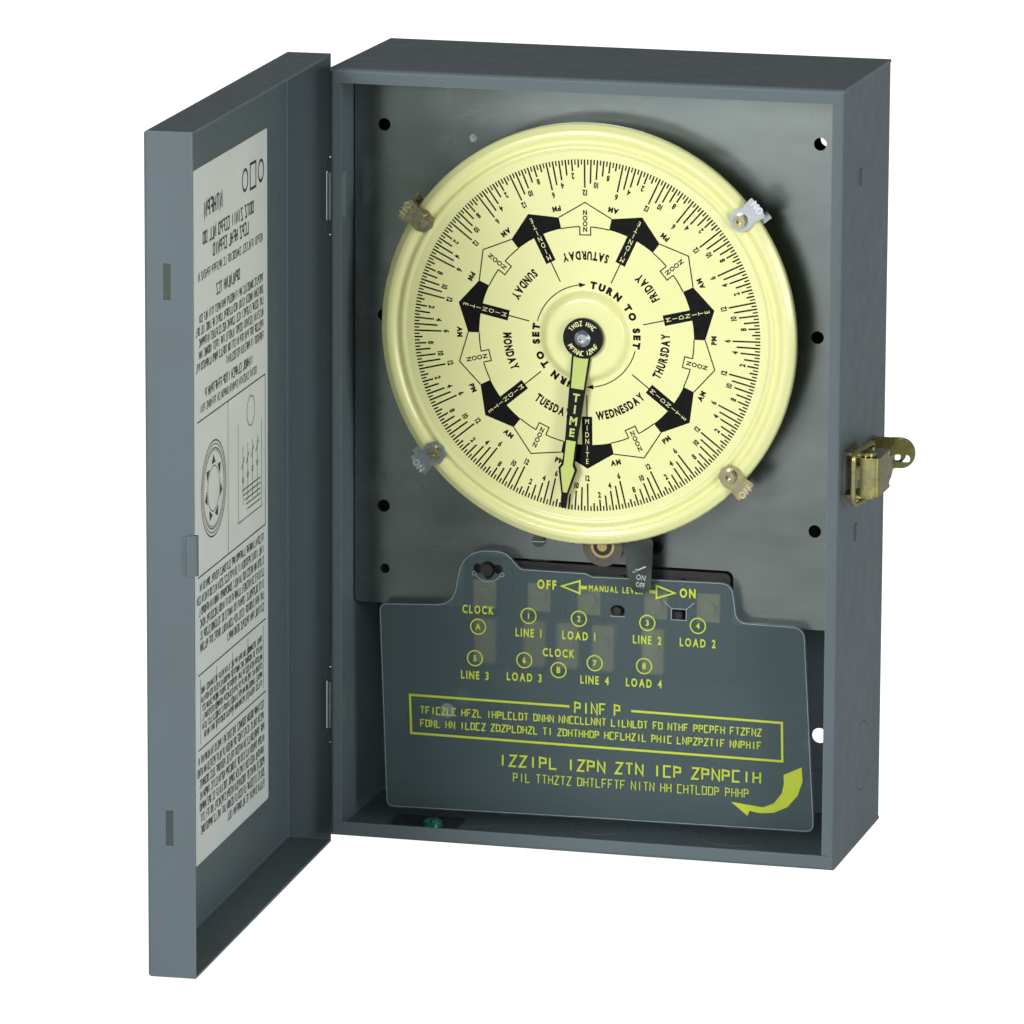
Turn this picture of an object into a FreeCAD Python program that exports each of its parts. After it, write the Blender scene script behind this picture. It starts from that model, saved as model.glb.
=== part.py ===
"""Seven-day dial time switch in a painted steel wall case with a hinged door.

X runs to the right, Y into the wall and Z up. The origin is the middle of the
back wall's outer face. The door stands open, as it hangs when the dial is set.
Depths are counted from the front edge of the case, as front(depth).
"""
import FreeCAD, Part
import math
import os
import re
from FreeCAD import Placement, Rotation, Vector

SIZES = {
    # case
    "case_wide": 211.0, "case_tall": 317.5, "case_deep": 89.5, "steel": 1.2,
    "side_lip": 4.8, "end_lip": 6.0, "bend": 0.5,
    "knockout": 14.1, "knockout_in": 35.9, "knockout_low": 123.4,
    "wall_hole": 3.3, "wall_hole_wide": 80.0, "wall_hole_high": 125.0,
    "stop_in": 33.2, "stop_upper": 119.0, "stop_lower": -25.8,
    # door and its hinges
    "door_wide": 215.5, "door_tall": 326.8, "door_deep": 19.0, "door_steel": 1.0,
    "door_open": 87.5, "pivot_out": 1.8, "pivot_in": 7.2, "hinge_high": 105.5,
    "knuckle": 1.5, "pin": 0.8, "hinge_bore": 0.85, "hook_tall": 19.4,
    # draw latch on the right wall
    "latch_high": 2.0, "lever_pivot_in": 14.3, "lever_pivot_out": 8.8, "latch_pin": 1.25, "latch_bore": 1.31,
    "bail_pivot_in": 27.0, "bail_pivot_out": 8.0, "bail_wire": 1.1, "bail_bore": 1.16,
    # mechanism plate
    "plate_wide": 103.7, "plate_top": 157.0, "plate_low": -66.6,
    "plate_face": 30.0, "plate_steel": 1.5, "plate_hole": 2.6, "plate_hole_wide": 90.4,
    # dial and its arbor
    "dial_across": -0.9, "dial_high": 53.2, "dial": 86.0, "dial_steel": 1.0,
    "arbor": 4.0, "arbor_bore": 4.06, "hub_disc": 8.2,
    # gear train
    "dial_teeth": 98, "pinion_teeth": 14, "dial_module": 1.0,
    "day_teeth": 60, "motor_teeth": 10, "day_module": 0.9,
    "gear_shaft": 2.0, "gear_bore": 2.05,
    # switch
    "cam_across": 4.6, "cam_high": -34.4, "cam": 8.0, "cam_shaft": 2.0, "cam_bore": 2.05,
    "block_left": -56.2, "block_right": 55.2, "block_top": -45.2,
    "terminal_pitch": 22.0, "stud": 2.6,
    # insulator
    "sheet_face": 23.6, "sheet_thick": 0.8,
}
ALONG = {
    "z": Rotation(),
    "y": Rotation(Vector(1, 0, 0), -90),
    "x": Rotation(Vector(0, 1, 0), 90),
}
NAME = re.compile(r"[a-z][a-z_]*")

doc = FreeCAD.newDocument("time_switch")
cells = doc.addObject("Spreadsheet::Sheet", "Sizes")
for row, (alias, size) in enumerate(SIZES.items(), 1):
    cells.set(f"A{row}", alias)
    cells.set(f"B{row}", str(size))
    cells.setAlias(f"B{row}", alias)
doc.recompute()
nodes = []


def size(alias):
    """A driving dimension as a number, read from the sheet."""
    return float(cells.get(alias))


def formula(text):
    """An expression in which every driving dimension points at its cell."""
    return NAME.sub(lambda m: "Sizes." + m[0] if m[0] in SIZES else m[0], str(text))


def bind(item, **values):
    for name, text in values.items():
        item.setExpression(name.replace("__", "."), formula(text))


def node(label, item):
    """Names a finished sub-part; its file takes this name."""
    item.Label = label
    nodes.append(item)
    return item


def front(depth):
    """Y of a point this deep behind the case's front edge."""
    return f"({depth} - case_deep)"


def depths(near, far):
    return front(near), front(far)


def block(x, y, z):
    """A box between pairs of expressions."""
    solid = doc.addObject("Part::Box", "block")
    for side, (low, high) in zip(("Length", "Width", "Height"), (x, y, z)):
        bind(solid, **{side: f"({high}) - ({low})"})
    for axis, (low, high) in zip("xyz", (x, y, z)):
        bind(solid, **{f"Placement__Base__{axis}": low})
    return solid


def rod(radius, along, centre, span):
    """A cylinder along an axis; centre gives the other two coordinates in X, Y, Z order."""
    solid = doc.addObject("Part::Cylinder", "rod")
    solid.Placement = Placement(Vector(), ALONG[along])
    low, high = span
    place = dict(zip([a for a in "xyz" if a != along], centre))
    place[along] = low
    bind(solid, Radius=radius, Height=f"({high}) - ({low})")
    for axis, text in place.items():
        bind(solid, **{f"Placement__Base__{axis}": text})
    return solid


def cone(wide, narrow, along, centre, span):
    solid = doc.addObject("Part::Cone", "cone")
    solid.Placement = Placement(Vector(), ALONG[along])
    low, high = span
    place = dict(zip([a for a in "xyz" if a != along], centre))
    place[along] = low
    bind(solid, Radius1=wide, Radius2=narrow, Height=f"({high}) - ({low})")
    for axis, text in place.items():
        bind(solid, **{f"Placement__Base__{axis}": text})
    return solid


def join(*solids):
    if len(solids) == 1:
        return solids[0]
    whole = doc.addObject("Part::MultiFuse", "join")
    whole.Shapes = list(solids)
    return whole


def cut(base, *tools):
    rest = doc.addObject("Part::Cut", "cut")
    rest.Base = base
    rest.Tool = join(*tools)
    return rest


def common(first, second):
    both = doc.addObject("Part::Common", "common")
    both.Base, both.Tool = first, second
    return both


def ring(outer, inner, along, centre, span):
    low, high = span
    bore = rod(inner, along, centre, (f"{low} - 1", f"{high} + 1"))
    return cut(rod(outer, along, centre, span), bore)


def rounded(corners):
    """Closed outline through corners (u, v, radius), as lines and tangent arcs."""
    starts, ends, arcs = [], [], []
    count = len(corners)
    for i, (u, v, radius) in enumerate(corners):
        here = Vector(u, v, 0)
        back = (Vector(*corners[i - 1][:2], 0) - here).normalize()
        ahead = (Vector(*corners[(i + 1) % count][:2], 0) - here).normalize()
        if radius == 0:
            starts.append(here)
            ends.append(here)
            arcs.append(None)
            continue
        half = back.getAngle(ahead) / 2
        reach = radius / math.tan(half)
        inward = (back + ahead).normalize()
        middle = here + inward * (radius / math.sin(half) - radius)
        starts.append(here + back * reach)
        ends.append(here + ahead * reach)
        arcs.append(Part.Arc(starts[-1], middle, ends[-1]))
    edges = []
    for i in range(count):
        if arcs[i]:
            edges.append(arcs[i])
        if (starts[(i + 1) % count] - ends[i]).Length > 1e-6:
            edges.append(Part.LineSegment(ends[i], starts[(i + 1) % count]))
    return edges


def circle(u, v, radius):
    return [Part.Circle(Vector(u, v, 0), Vector(0, 0, 1), radius)]


def body(name):
    return doc.addObject("PartDesign::Body", name)


def sketch(owner, role, offset, edges):
    """A sketch on one of the body's origin planes, set off along the plane's normal."""
    drawing = owner.newObject("Sketcher::SketchObject", owner.Name + "_sketch")
    plane = next(f for f in owner.Origin.OriginFeatures if f.Role == role)
    drawing.AttachmentSupport = [(plane, "")]
    drawing.MapMode = "FlatFace"
    bind(drawing, AttachmentOffset__Base__z=offset)
    drawing.addGeometry(edges, False)
    return drawing


def pad(owner, role, offset, edges, length):
    """Pads an outline from its offset along the plane's normal (XZ_Plane's points to -Y)."""
    feature = owner.newObject("PartDesign::Pad", owner.Name + "_pad")
    feature.Profile = sketch(owner, role, offset, edges)
    bind(feature, Length=length)
    doc.recompute()
    return feature


def padded(name, role, offset, edges, length):
    owner = body(name)
    pad(owner, role, offset, edges, length)
    return owner


def front_piece(name, edges, near, far):
    """A flat piece whose outline is drawn in X and Z, between two depths."""
    return padded(name, "XZ_Plane", f"case_deep - ({far})", edges, f"({far}) - ({near})")


def shape_piece(name, shape):
    feature = doc.addObject("Part::Feature", name)
    feature.Shape = shape
    return feature


def mirrored(corners):
    """Corners on the +u side, and the same on the -u side in reverse order."""
    return corners + [(-u, v, r) for u, v, r in reversed(corners)]


def shield_outline(wide, low, high, radius):
    return rounded(mirrored([(wide, low, radius), (wide, high, radius)]))


def box_outline(left, right, low, high, radius):
    return rounded([(left, low, radius), (right, low, radius), (right, high, radius), (left, high, radius)])


# ---------------------------------------------------------------- case

def case_wrap():
    """Back wall and both side walls, folded from one sheet, with lips along the front."""
    half, deep, steel, lip = (size("case_wide") / 2, size("case_deep"), size("steel"), size("side_lip"))
    inner, outer = size("bend"), size("bend") + steel
    outside = [(half - lip, -deep, 0), (half, -deep, outer), (half, 0, outer)]
    inside = [(half - steel, -steel, inner), (half - steel, steel - deep, inner), (half - lip, steel - deep, 0)]
    left_out = [(-u, v, r) for u, v, r in reversed(outside)]
    left_in = [(-u, v, r) for u, v, r in reversed(inside)]
    edges = rounded(outside + left_out + left_in + inside)
    walls = padded("case_sheet", "XY_Plane", "steel - case_tall / 2", edges, "case_tall - 2 * steel")
    cuts, bumps = [], []
    for side in (-1, 1):
        edge = f"{side} * case_wide / 2"
        wall = sorted_pair(f"{edge} - {side} * steel", edge, side)
        for end in (-1, 1):
            notch = sorted_pair(f"{side} * (case_wide / 2 - side_lip - 1)", f"{side} * (case_wide / 2 - 1.9)", side)
            lip_low = sorted_pair(f"{end} * (case_tall / 2 - end_lip - 0.3)", f"{end} * case_tall / 2", end)
            cuts.append(block(notch, ("-case_deep - 1", "steel - case_deep"), lip_low))
            cuts.append(rod("wall_hole", "y", (f"{side} * wall_hole_wide", f"{end} * wall_hole_high"),
                            ("-steel - 1", "1")))
        for high in ("stop_upper", "stop_lower"):
            bump = sorted_pair(edge, f"{edge} + {side} * 0.8", side)
            pit = sorted_pair(f"{edge} - {side} * (steel + 0.1)", f"{edge} - {side} * 0.4", side)
            bumps.append(block(bump, depths("stop_in - 1.3", "stop_in + 1.3"), (f"{high} - 3.4", f"{high} + 3.4")))
            cuts.append(block(pit, depths("stop_in - 1", "stop_in + 1"), (f"{high} - 2.9", f"{high} + 2.9")))
        groove = ring("knockout + 0.35", "knockout", "x", ("-knockout_in", "-knockout_low"),
                      sorted_pair(f"{edge} - {side} * 0.6", f"{edge} + {side}", side))
        cuts.append(groove)
    for high in ("hinge_high", "-hinge_high"):
        slot_x = ("-case_wide / 2 - 1", "steel + 0.3 - case_wide / 2")
        cuts.append(block(slot_x, depths("pivot_in + 0.65", "pivot_in + 1.8"), (f"{high} - 9.9", f"{high} + 9.9")))
    for depth in LATCH_RIVETS:
        cuts.append(rod("1.6", "x", (front(depth), "latch_high"), ("case_wide / 2 - 3", "case_wide / 2 + 1")))
    node("case_wrap", cut(join(walls, *bumps), *cuts))


def sorted_pair(near, far, side):
    return (near, far) if side > 0 else (far, near)


def case_cap(label, end):
    """Top (end 1) or bottom (end -1) of the case, with a front lip and a flange inside the back."""
    half, deep, steel = size("case_tall") / 2, size("case_deep"), size("steel")
    inner, outer, lip, flange = size("bend"), size("bend") + steel, size("end_lip"), 19.0
    gap = 0.1
    corners = [(0, half, 0), (-deep, half, outer), (-deep, half - lip, 0), (steel - deep, half - lip, 0),
               (steel - deep, half - steel, inner), (-2 * steel - gap, half - steel, inner),
               (-2 * steel - gap, half - flange, 0), (-steel - gap, half - flange, 0),
               (-steel - gap, half - steel, 0), (0, half - steel, 0)]
    edges = rounded([(u, end * v, r) for u, v, r in corners])
    folded = padded(label + "_sheet", "YZ_Plane", "-case_wide / 2", edges, "case_wide")
    cuts = []
    for side in (-1, 1):
        ends = sorted_pair(f"{side} * (case_wide / 2 - 2)", f"{side} * (case_wide / 2 + 1)", side)
        high = sorted_pair(f"{end} * (case_tall / 2 - 30)", f"{end} * (case_tall / 2 - steel)", end)
        cuts.append(block(ends, ("-case_deep - 1", "-1"), high))
    if end < 0:
        for across, radius in ((-56, "knockout"), (0, "11.1"), (56, "knockout")):
            centre = (f"{across}", front("38"))
            cuts.append(ring(f"{radius} + 0.35", radius, "z", centre, ("-case_tall / 2 - 1", "0.6 - case_tall / 2")))
            cuts.append(ring(f"{radius} + 0.35", radius, "z", centre,
                             ("steel - 0.4 - case_tall / 2", "steel + 1 - case_tall / 2")))
    node(label, cut(folded, *cuts))


# ---------------------------------------------------------------- door, drawn closed about its pivot

def door_pose(item):
    """Turns a piece drawn closed, with the pivot at the origin, to the open door."""
    item.Placement = Placement(Vector(), Rotation(Vector(0, 0, -1), 1))
    bind(item, Placement__Base__x="-case_wide / 2 - pivot_out", Placement__Base__y="pivot_in - case_deep",
         Placement__Rotation__Angle="door_open")
    return item


def door_panel():
    """Pan-shaped door with two hinge slots, two slots in the free flange and hinge knuckles."""
    pan = body("door_pan")
    half, wide = size("door_tall") / 2, size("door_wide") - 0.5
    edges = box_outline(-0.5, wide, -half, half, 0)
    solid = pad(pan, "XZ_Plane", "0", edges, "door_deep")
    deepest = solid.Shape.BoundBox.YMin
    corners = [f"Edge{i}" for i, e in enumerate(solid.Shape.Edges, 1) if e.BoundBox.YMax < deepest + 0.01]
    fillet = pan.newObject("PartDesign::Fillet", "door_bends")
    fillet.Base = (solid, corners)
    bind(fillet, Radius="door_steel + bend")
    doc.recompute()
    open_side = [f"Face{i}" for i, f in enumerate(fillet.Shape.Faces, 1) if f.BoundBox.YMin > -0.01]
    hollow = pan.newObject("PartDesign::Thickness", "door_hollow")
    hollow.Base = (fillet, open_side)
    hollow.Reversed = True
    bind(hollow, Value="door_steel")
    doc.recompute()
    knuckles, cuts = [], []
    for high in ("hinge_high", "-hinge_high"):
        for end in (-1, 1):
            span = sorted_pair(f"{high} + {end} * 10", f"{high} + {end} * 15", end)
            knuckles.append(rod("knuckle", "z", ("0", "0"), span))
        cuts.append(block(("-3", "3"), ("-3.7", "3"), (f"{high} - 10", f"{high} + 10")))
        cuts.append(rod("pin", "z", ("0", "0"), (f"{high} - 16", f"{high} + 16")))
        free = ("door_wide - 3", "door_wide + 1")
        cuts.append(block(free, ("-11.7", "-8.5"), (f"{high} - 6", f"{high} + 8")))
    panel = cut(join(pan, *knuckles), *cuts)
    node("door_panel", door_pose(panel))


def door_pieces():
    door_panel()
    for label, high in (("hinge_pin_upper", "hinge_high"), ("hinge_pin_lower", "-hinge_high")):
        node(label, door_pose(join(rod("pin", "z", ("0", "0"), (f"{high} - 15.6", f"{high} + 15.6")))))
    inner, outer = size("door_wide") - 1.5, size("door_wide") - 0.5
    hook = rounded([(inner - 0.8, -3.9, 0), (inner, -3.9, 0), (inner, 0, 0), (outer, 0, 0), (outer + 0.5, -1.2, 0.5),
                    (outer + 1.0, -2.6, 0), (outer + 1.7, -2.2, 0), (outer + 0.7, 1.5, 1.2), (inner - 0.8, 1.5, 0.8)])
    keeper = padded("keeper_hook", "XY_Plane", "latch_high - 7.75", hook, "15.5")
    node("door_keeper", door_pose(join(keeper)))
    paper = padded("label_sheet", "XZ_Plane", "door_deep - door_steel - 0.3", box_outline(34, 147.5, -137.6, 137.6, 1),
                   "0.3")
    node("door_label", door_pose(join(paper)))


# ---------------------------------------------------------------- hinges on the case

def case_hinge(label, high):
    """Leaf inside the left wall with a hook that passes out through the wall round the pin."""
    pivot = ("-case_wide / 2 - pivot_out", front("pivot_in"))
    span = (f"{high} - hook_tall / 2", f"{high} + hook_tall / 2")
    barrel = rod("knuckle", "z", pivot, span)
    tongue = block((pivot[0], "steel + 0.7 - case_wide / 2"),
                   depths("pivot_in + hinge_bore", "pivot_in + knuckle"), span)
    leaf = block(("steel - case_wide / 2", "steel + 0.7 - case_wide / 2"),
                 depths("pivot_in + hinge_bore", "pivot_in + 9.8"), span)
    bore = rod("hinge_bore", "z", pivot, (f"{high} - 20", f"{high} + 20"))
    node(label, cut(join(barrel, tongue, leaf), bore))


# ---------------------------------------------------------------- draw latch

LATCH_RIVETS = (34.0, 52.0)
EAR_IN, EAR_OUT = 8.0, 9.2


def out(distance):
    """X of a point this far out from the right wall's outer face."""
    return f"(case_wide / 2 + {distance})"


def latch_node(label, item):
    """Names a latch piece, modelled about height 0, and lifts it to the latch's height."""
    bind(item, Placement__Base__z="latch_high")
    return node(label, item)


def pill(name, low_u, high_u, low_v, high_v):
    """Outline with fully rounded ends across v."""
    radius = (high_v - low_v) / 2 - 0.001
    return box_outline(low_u, high_u, low_v, high_v, radius)


def latch_base():
    """Riveted base: a strip, two ears for the lever's pin and a slotted ear for a padlock."""
    plate = (out(0), out(1.2))
    strip = block(plate, depths(22.5, 65.4), (-6, 6))
    bridge = block(plate, depths(22.5, 30), (-9.4, 9.4))
    parts = [strip, bridge]
    for side in (-1, 1):
        rail = sorted_pair(side * EAR_IN, side * 9.4, side)
        ear = sorted_pair(side * EAR_IN, side * EAR_OUT, side)
        parts.append(block(plate, depths(10, 22.5), rail))
        parts.append(block((out(0.5), out("lever_pivot_out")), depths("lever_pivot_in - 3.5", "lever_pivot_in + 3.5"),
                           ear))
        parts.append(rod(3.5, "z", (out("lever_pivot_out"), front("lever_pivot_in")), ear))
    tall = size("case_wide") / 2
    lock = front_piece("lock_ear", rounded([(tall, -5.5, 0), (tall + 14, -5.5, 5), (tall + 14, 5.5, 5),
                                            (tall, 5.5, 0)]), "64.2", "65.4")
    hole = front_piece("lock_slot", pill("slot", tall + 5.4, tall + 11.8, -3.9, -0.7), "63", "67")
    pin = rod("latch_pin", "z", (out("lever_pivot_out"), front("lever_pivot_in")), (-20, 20))
    holes = [rod("1.6", "x", (front(depth), "0"), (out(-1), out(3))) for depth in LATCH_RIVETS]
    latch_node("latch_base", cut(join(*parts, lock), pin, hole, *holes))


def latch_rivets():
    rivets = []
    for depth in LATCH_RIVETS:
        centre = (front(depth), "0")
        rivets.append(join(rod("1.6", "x", centre, (out("-steel"), out(1.2))),
                           cone(2.8, 1.8, "x", centre, (out(1.2), out(2.2))),
                           rod("2.6", "x", centre, (out("-steel - 0.5"), out("-steel")))))
    latch_node("latch_rivets", join(*rivets))


def latch_lever():
    """Stamped channel with a narrow neck and a rounded finger tab that has a padlock slot."""
    wall, edge = size("case_wide") / 2, -size("case_deep")
    outer, nose = wall + 14.6, edge + 8.3
    web = rounded([(wall + 6.8, nose, 0), (outer, nose, 2.0), (outer, edge + 32, 4), (wall + 10.2, edge + 59.5, 3),
                   (wall + 10.2, edge + 61.6, 0), (wall + 9, edge + 61.6, 0), (wall + 9, edge + 59, 3),
                   (outer - 1, edge + 32, 4), (outer - 1, nose + 1, 1.0), (wall + 6.8, nose + 1, 0)])
    profile = padded("lever_web", "XY_Plane", "-8", web, "16")
    plan = rounded([(edge + 5, -7.7, 0), (edge + 26, -7.7, 0.5), (edge + 30, -4.5, 0.5), (edge + 56, -4.5, 2),
                    (edge + 59.5, -6.3, 0), (edge + 62, -6.3, 0), (edge + 62, 6.3, 0), (edge + 59.5, 6.3, 0),
                    (edge + 56, 4.5, 2), (edge + 30, 4.5, 0.5), (edge + 26, 7.7, 0.5), (edge + 5, 7.7, 0)])
    strip = common(profile, padded("lever_plan", "YZ_Plane", out(0), plan, "20"))
    pivot = Vector(wall + size("lever_pivot_out"), edge + size("lever_pivot_in"), 0)
    side_edges = rounded([(wall + 4.6, nose + 1.6, 2.5), (wall + 7.5, nose, 1.0), (outer, nose, 2.0),
                          (outer, edge + 30, 0.5), (wall + 6.2, edge + 30.5, 1.5), (wall + 6.2, edge + 24, 3),
                          (wall + 3.2, edge + 17.5, 3), (wall + 2.6, edge + 13, 3)])
    parts = [strip]
    for side in (-1, 1):
        low = "6.7" if side > 0 else "-7.7"
        parts.append(padded("lever_side", "XY_Plane", low, side_edges, "1"))
    tab = front_piece("lever_tab", rounded([(wall + 9, -6.3, 0), (wall + 18.3, -6.3, 6), (wall + 18.3, 6.3, 6),
                                            (wall + 9, 6.3, 0)]), "61", "62.2")
    slot = front_piece("lever_slot", pill("slot", wall + 9.4, wall + 16.4, -3.9, -0.7), "60.4", "63")
    pin = rod("latch_bore", "z", (f"{pivot.x}", f"{pivot.y}"), (-20, 20))
    wire = rod("bail_bore", "z", (out("bail_pivot_out"), front("bail_pivot_in")), (-20, 20))
    latch_node("latch_lever", cut(join(*parts, tab), slot, pin, wire))


def latch_wire():
    """Wire loop whose turned-in ends sit in the lever's sides."""
    wall, edge = size("case_wide") / 2, -size("case_deep")
    rear = (wall + size("bail_pivot_out"), edge + size("bail_pivot_in"))
    fore = (wall + 5.4, edge + 2.2)
    arm, end, radius = 10.65, 6.75, size("bail_wire")
    points = [Vector(*rear, end), Vector(*rear, arm), Vector(*fore, arm), Vector(*fore, -arm),
              Vector(*rear, -arm), Vector(*rear, -end)]
    bends = [2.0, 3.2, 3.2, 2.0]
    edges, start = [], points[0]
    for i, bend in enumerate(bends, 1):
        back = (points[i - 1] - points[i]).normalize()
        ahead = (points[i + 1] - points[i]).normalize()
        half = back.getAngle(ahead) / 2
        reach = bend / math.tan(half)
        middle = points[i] + (back + ahead).normalize() * (bend / math.sin(half) - bend)
        edges.append(Part.LineSegment(start, points[i] + back * reach).toShape())
        edges.append(Part.Arc(points[i] + back * reach, middle, points[i] + ahead * reach).toShape())
        start = points[i] + ahead * reach
    edges.append(Part.LineSegment(start, points[-1]).toShape())
    path = Part.Wire(edges)
    section = Part.Wire(Part.makeCircle(radius, points[0], Vector(0, 0, 1)))
    latch_node("latch_bail", shape_piece("latch_bail", path.makePipeShell([section], True, False)))


def latch_lever_pin():
    centre = (out("lever_pivot_out"), front("lever_pivot_in"))
    node("latch_lever_pin", rod("latch_pin", "z", centre, (f"latch_high - {EAR_OUT}", f"latch_high + {EAR_OUT}")))


# ---------------------------------------------------------------- mechanism plate

def mechanism_plate():
    """Zinc-plated plate across the case that carries the clockwork, with side flanges."""
    wide, top, low = size("plate_wide"), size("plate_top"), size("plate_low")
    left, right = size("block_left") - 0.8, size("block_right") + 0.8
    edges = rounded([(-wide, low, 2), (left, low, 1), (left, size("block_top") + 0.8, 3),
                     (right, size("block_top") + 0.8, 3), (right, low, 1), (wide, low, 2), (wide, top, 2),
                     (-wide, top, 2)])
    sheet = front_piece("plate_sheet", edges, "plate_face", "plate_face + plate_steel")
    flanges, holes = [], []
    for side in (-1, 1):
        wall = sorted_pair(f"{side} * (plate_wide - plate_steel)", f"{side} * plate_wide", side)
        flanges.append(block(wall, depths("plate_face", "plate_face + 12"), ("plate_low + 8", "plate_top - 8")))
        for high in ("stop_upper", "stop_lower"):
            flanges.append(block(sorted_pair(f"{side} * (plate_wide - 1)", f"{side} * (plate_wide + 1.2)", side),
                                 depths("stop_in - 0.8", "stop_in + 0.8"), (f"{high} - 2.5", f"{high} + 2.5")))
        for high in (132.0, 53.6, -25.9):
            holes.append(through("plate_hole", f"dial_across + {side} * plate_hole_wide", high))
    holes.append(through("2", "-90.7", "-52.1"))
    holes.append(through("arbor", "dial_across", "dial_high"))
    holes.append(through("gear_shaft + 2", "dial_across", GEAR_HIGH))
    holes.append(through("cam_shaft + 2", "cam_across", "cam_high"))
    for across, high in SCREW_PLACES:
        holes.append(through("1.7", across, high))
    for across, high in POST_PLACES:
        holes.append(through("1.6", across, high))
    holes.append(through("1.4", *SPRING_SCREW))
    node("mechanism_plate", cut(join(sheet, *flanges), *holes))


def through(radius, across, high):
    return rod(radius, "y", (across, high), depths("plate_face - 5", "plate_face + 5"))


GEAR_HIGH = "(dial_high + (dial_teeth + pinion_teeth) * dial_module / 2)"
MOTOR_ACROSS = "(dial_across - (day_teeth + motor_teeth) * day_module / 2)"
SCREW_PLACES = ((-25.3, -36.4), (24.4, -36.4))
POST_PLACES = ((-54, 87), (-54, 128), (-9, 74))
SPRING_SCREW = (-24.0, -22.0)


def screw(radius, head, across, high, near, under, far):
    """Pan head in front, then a shank; depths from the case front. The head has a slot."""
    centre = (across, high)
    top = rod(head, "y", centre, depths(near, under))
    shank = rod(radius, "y", centre, depths(under, far))
    slot = block((f"{across} - {head} - 1", f"{across} + {head} + 1"), depths(f"{near} - 1", f"{near} + 0.7"),
                 (f"{high} - 0.4", f"{high} + 0.4"))
    return cut(join(top, shank), slot)


def plate_screws():
    """Two screws that hold the terminal block to the plate, and the detent spring's screw."""
    items = [screw(1.7, 2.6, across, high, "plate_face - 1.8", "plate_face", "plate_face + 8")
             for across, high in SCREW_PLACES]
    items.append(screw(1.4, 2.4, *SPRING_SCREW, 20.1, 21.5, "plate_face + 3"))
    node("plate_screws", join(*items))


# ---------------------------------------------------------------- dial

def dial_arbor():
    """Fixed arbor riveted through the plate; the dial turns on it and the pointer is screwed to it."""
    centre = ("dial_across", "dial_high")
    post = rod("arbor", "y", centre, depths(5.2, 34))
    shoulder = rod("7", "y", centre, depths("plate_face - 3", "plate_face"))
    tail = rod("9", "y", centre, depths("plate_face + plate_steel", "plate_face + plate_steel + 2.5"))
    thread = rod("1.6", "y", centre, depths(4, 15))
    node("dial_arbor", cut(join(post, shoulder, tail), thread))


def dial_hub():
    """Brass sleeve with a flange that the dial is riveted to."""
    centre = ("dial_across", "dial_high")
    sleeve = rod("8", "y", centre, depths(6.8, 26.6))
    flange = rod("13", "y", centre, depths(6.8, 8.4))
    seat = rod("11", "y", centre, depths(20.5, 21.5))
    bore = rod("arbor_bore", "y", centre, depths(5, 28))
    node("dial_hub", cut(join(sleeve, flange, seat), bore))


def dial_plate():
    """Pressed dial: a raised centre, a flat day ring and a beaded rim with a rolled edge."""
    rim, thick, edge = size("dial"), size("dial_steel"), -size("case_deep")
    face = [(4.6, 5.8, 0), (15.9, 5.8, 2.4), (18.6, 9.0, 1.6), (0.872 * rim, 9.0, 1.2), (0.884 * rim, 8.5, 1.2),
            (0.897 * rim, 8.5, 1.0), (0.908 * rim, 9.9, 1.2), (0.922 * rim, 9.9, 1.2), (0.942 * rim, 8.5, 1.8),
            (0.966 * rim, 8.7, 2.0), (rim, 10.8, 1.6), (rim, 13.4, 0)]
    back = [(rim - thick, 13.4, 0), (rim - thick, 11.5, 0.5), (0.964 * rim, 9.8, 1.0), (0.945 * rim, 9.5, 0.8),
            (0.928 * rim, 10.9, 0.4), (0.902 * rim, 10.9, 0.4), (0.893 * rim, 9.5, 0.4), (0.886 * rim, 9.5, 0.4),
            (0.872 * rim, 10.0, 0.8), (18.1, 10.0, 1.0), (15.4, 6.8, 1.6), (4.6, 6.8, 0)]
    outline = rounded([(u, edge + v, r) for u, v, r in face + back])
    owner = body("dial_pressing")
    drawing = sketch(owner, "XY_Plane", "0", outline)
    spin = owner.newObject("PartDesign::Revolution", "dial_turn")
    spin.Profile = drawing
    spin.ReferenceAxis = (drawing, ["V_Axis"])
    spin.Angle = 360
    doc.recompute()
    whole = join(owner)
    bind(owner, Placement__Base__x="dial_across", Placement__Base__z="dial_high")
    node("dial_plate", whole)


def tooth_wheel(teeth, module, shorten, backlash):
    """Face of a spur wheel about the origin, with straight-flanked teeth cut short for clearance."""
    pitch = teeth * module / 2
    tip, root = pitch + module * shorten, pitch - 1.1 * module
    step = 2 * math.pi / teeth
    half = (math.pi * module / 2 - backlash) / 2 / pitch
    slope = math.tan(math.radians(20))
    tip_half = half - (tip - pitch) * slope / pitch
    root_half = half + (pitch - root) * slope * 0.8 / pitch
    points = []
    for i in range(teeth):
        turn = i * step
        for radius, angle in ((root, -root_half), (tip, -tip_half), (tip, tip_half), (root, root_half)):
            points.append(Vector(radius * math.sin(turn + angle), 0, radius * math.cos(turn + angle)))
    points.append(points[0])
    return Part.Face(Part.makePolygon(points))


def wheel(teeth, module, turn, bore, near, far, across, high, shorten=0.8, backlash=0.25):
    """Spur wheel along Y between two depths; turn sets which way its first tooth points."""
    face = tooth_wheel(teeth, module, shorten, backlash)
    edge = -size("case_deep")
    solid = face.extrude(Vector(0, far - near, 0))
    hole = Part.makeCylinder(bore, far - near + 2, Vector(0, -1, 0), Vector(0, 1, 0))
    solid = solid.cut(hole)
    solid.rotate(Vector(), Vector(0, 1, 0), turn)
    solid.translate(Vector(across, edge + near, high))
    return solid


def gear_places():
    high = size("dial_high") + (size("dial_teeth") + size("pinion_teeth")) * size("dial_module") / 2
    across = size("dial_across") - (size("day_teeth") + size("motor_teeth")) * size("day_module") / 2
    return high, across


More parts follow.
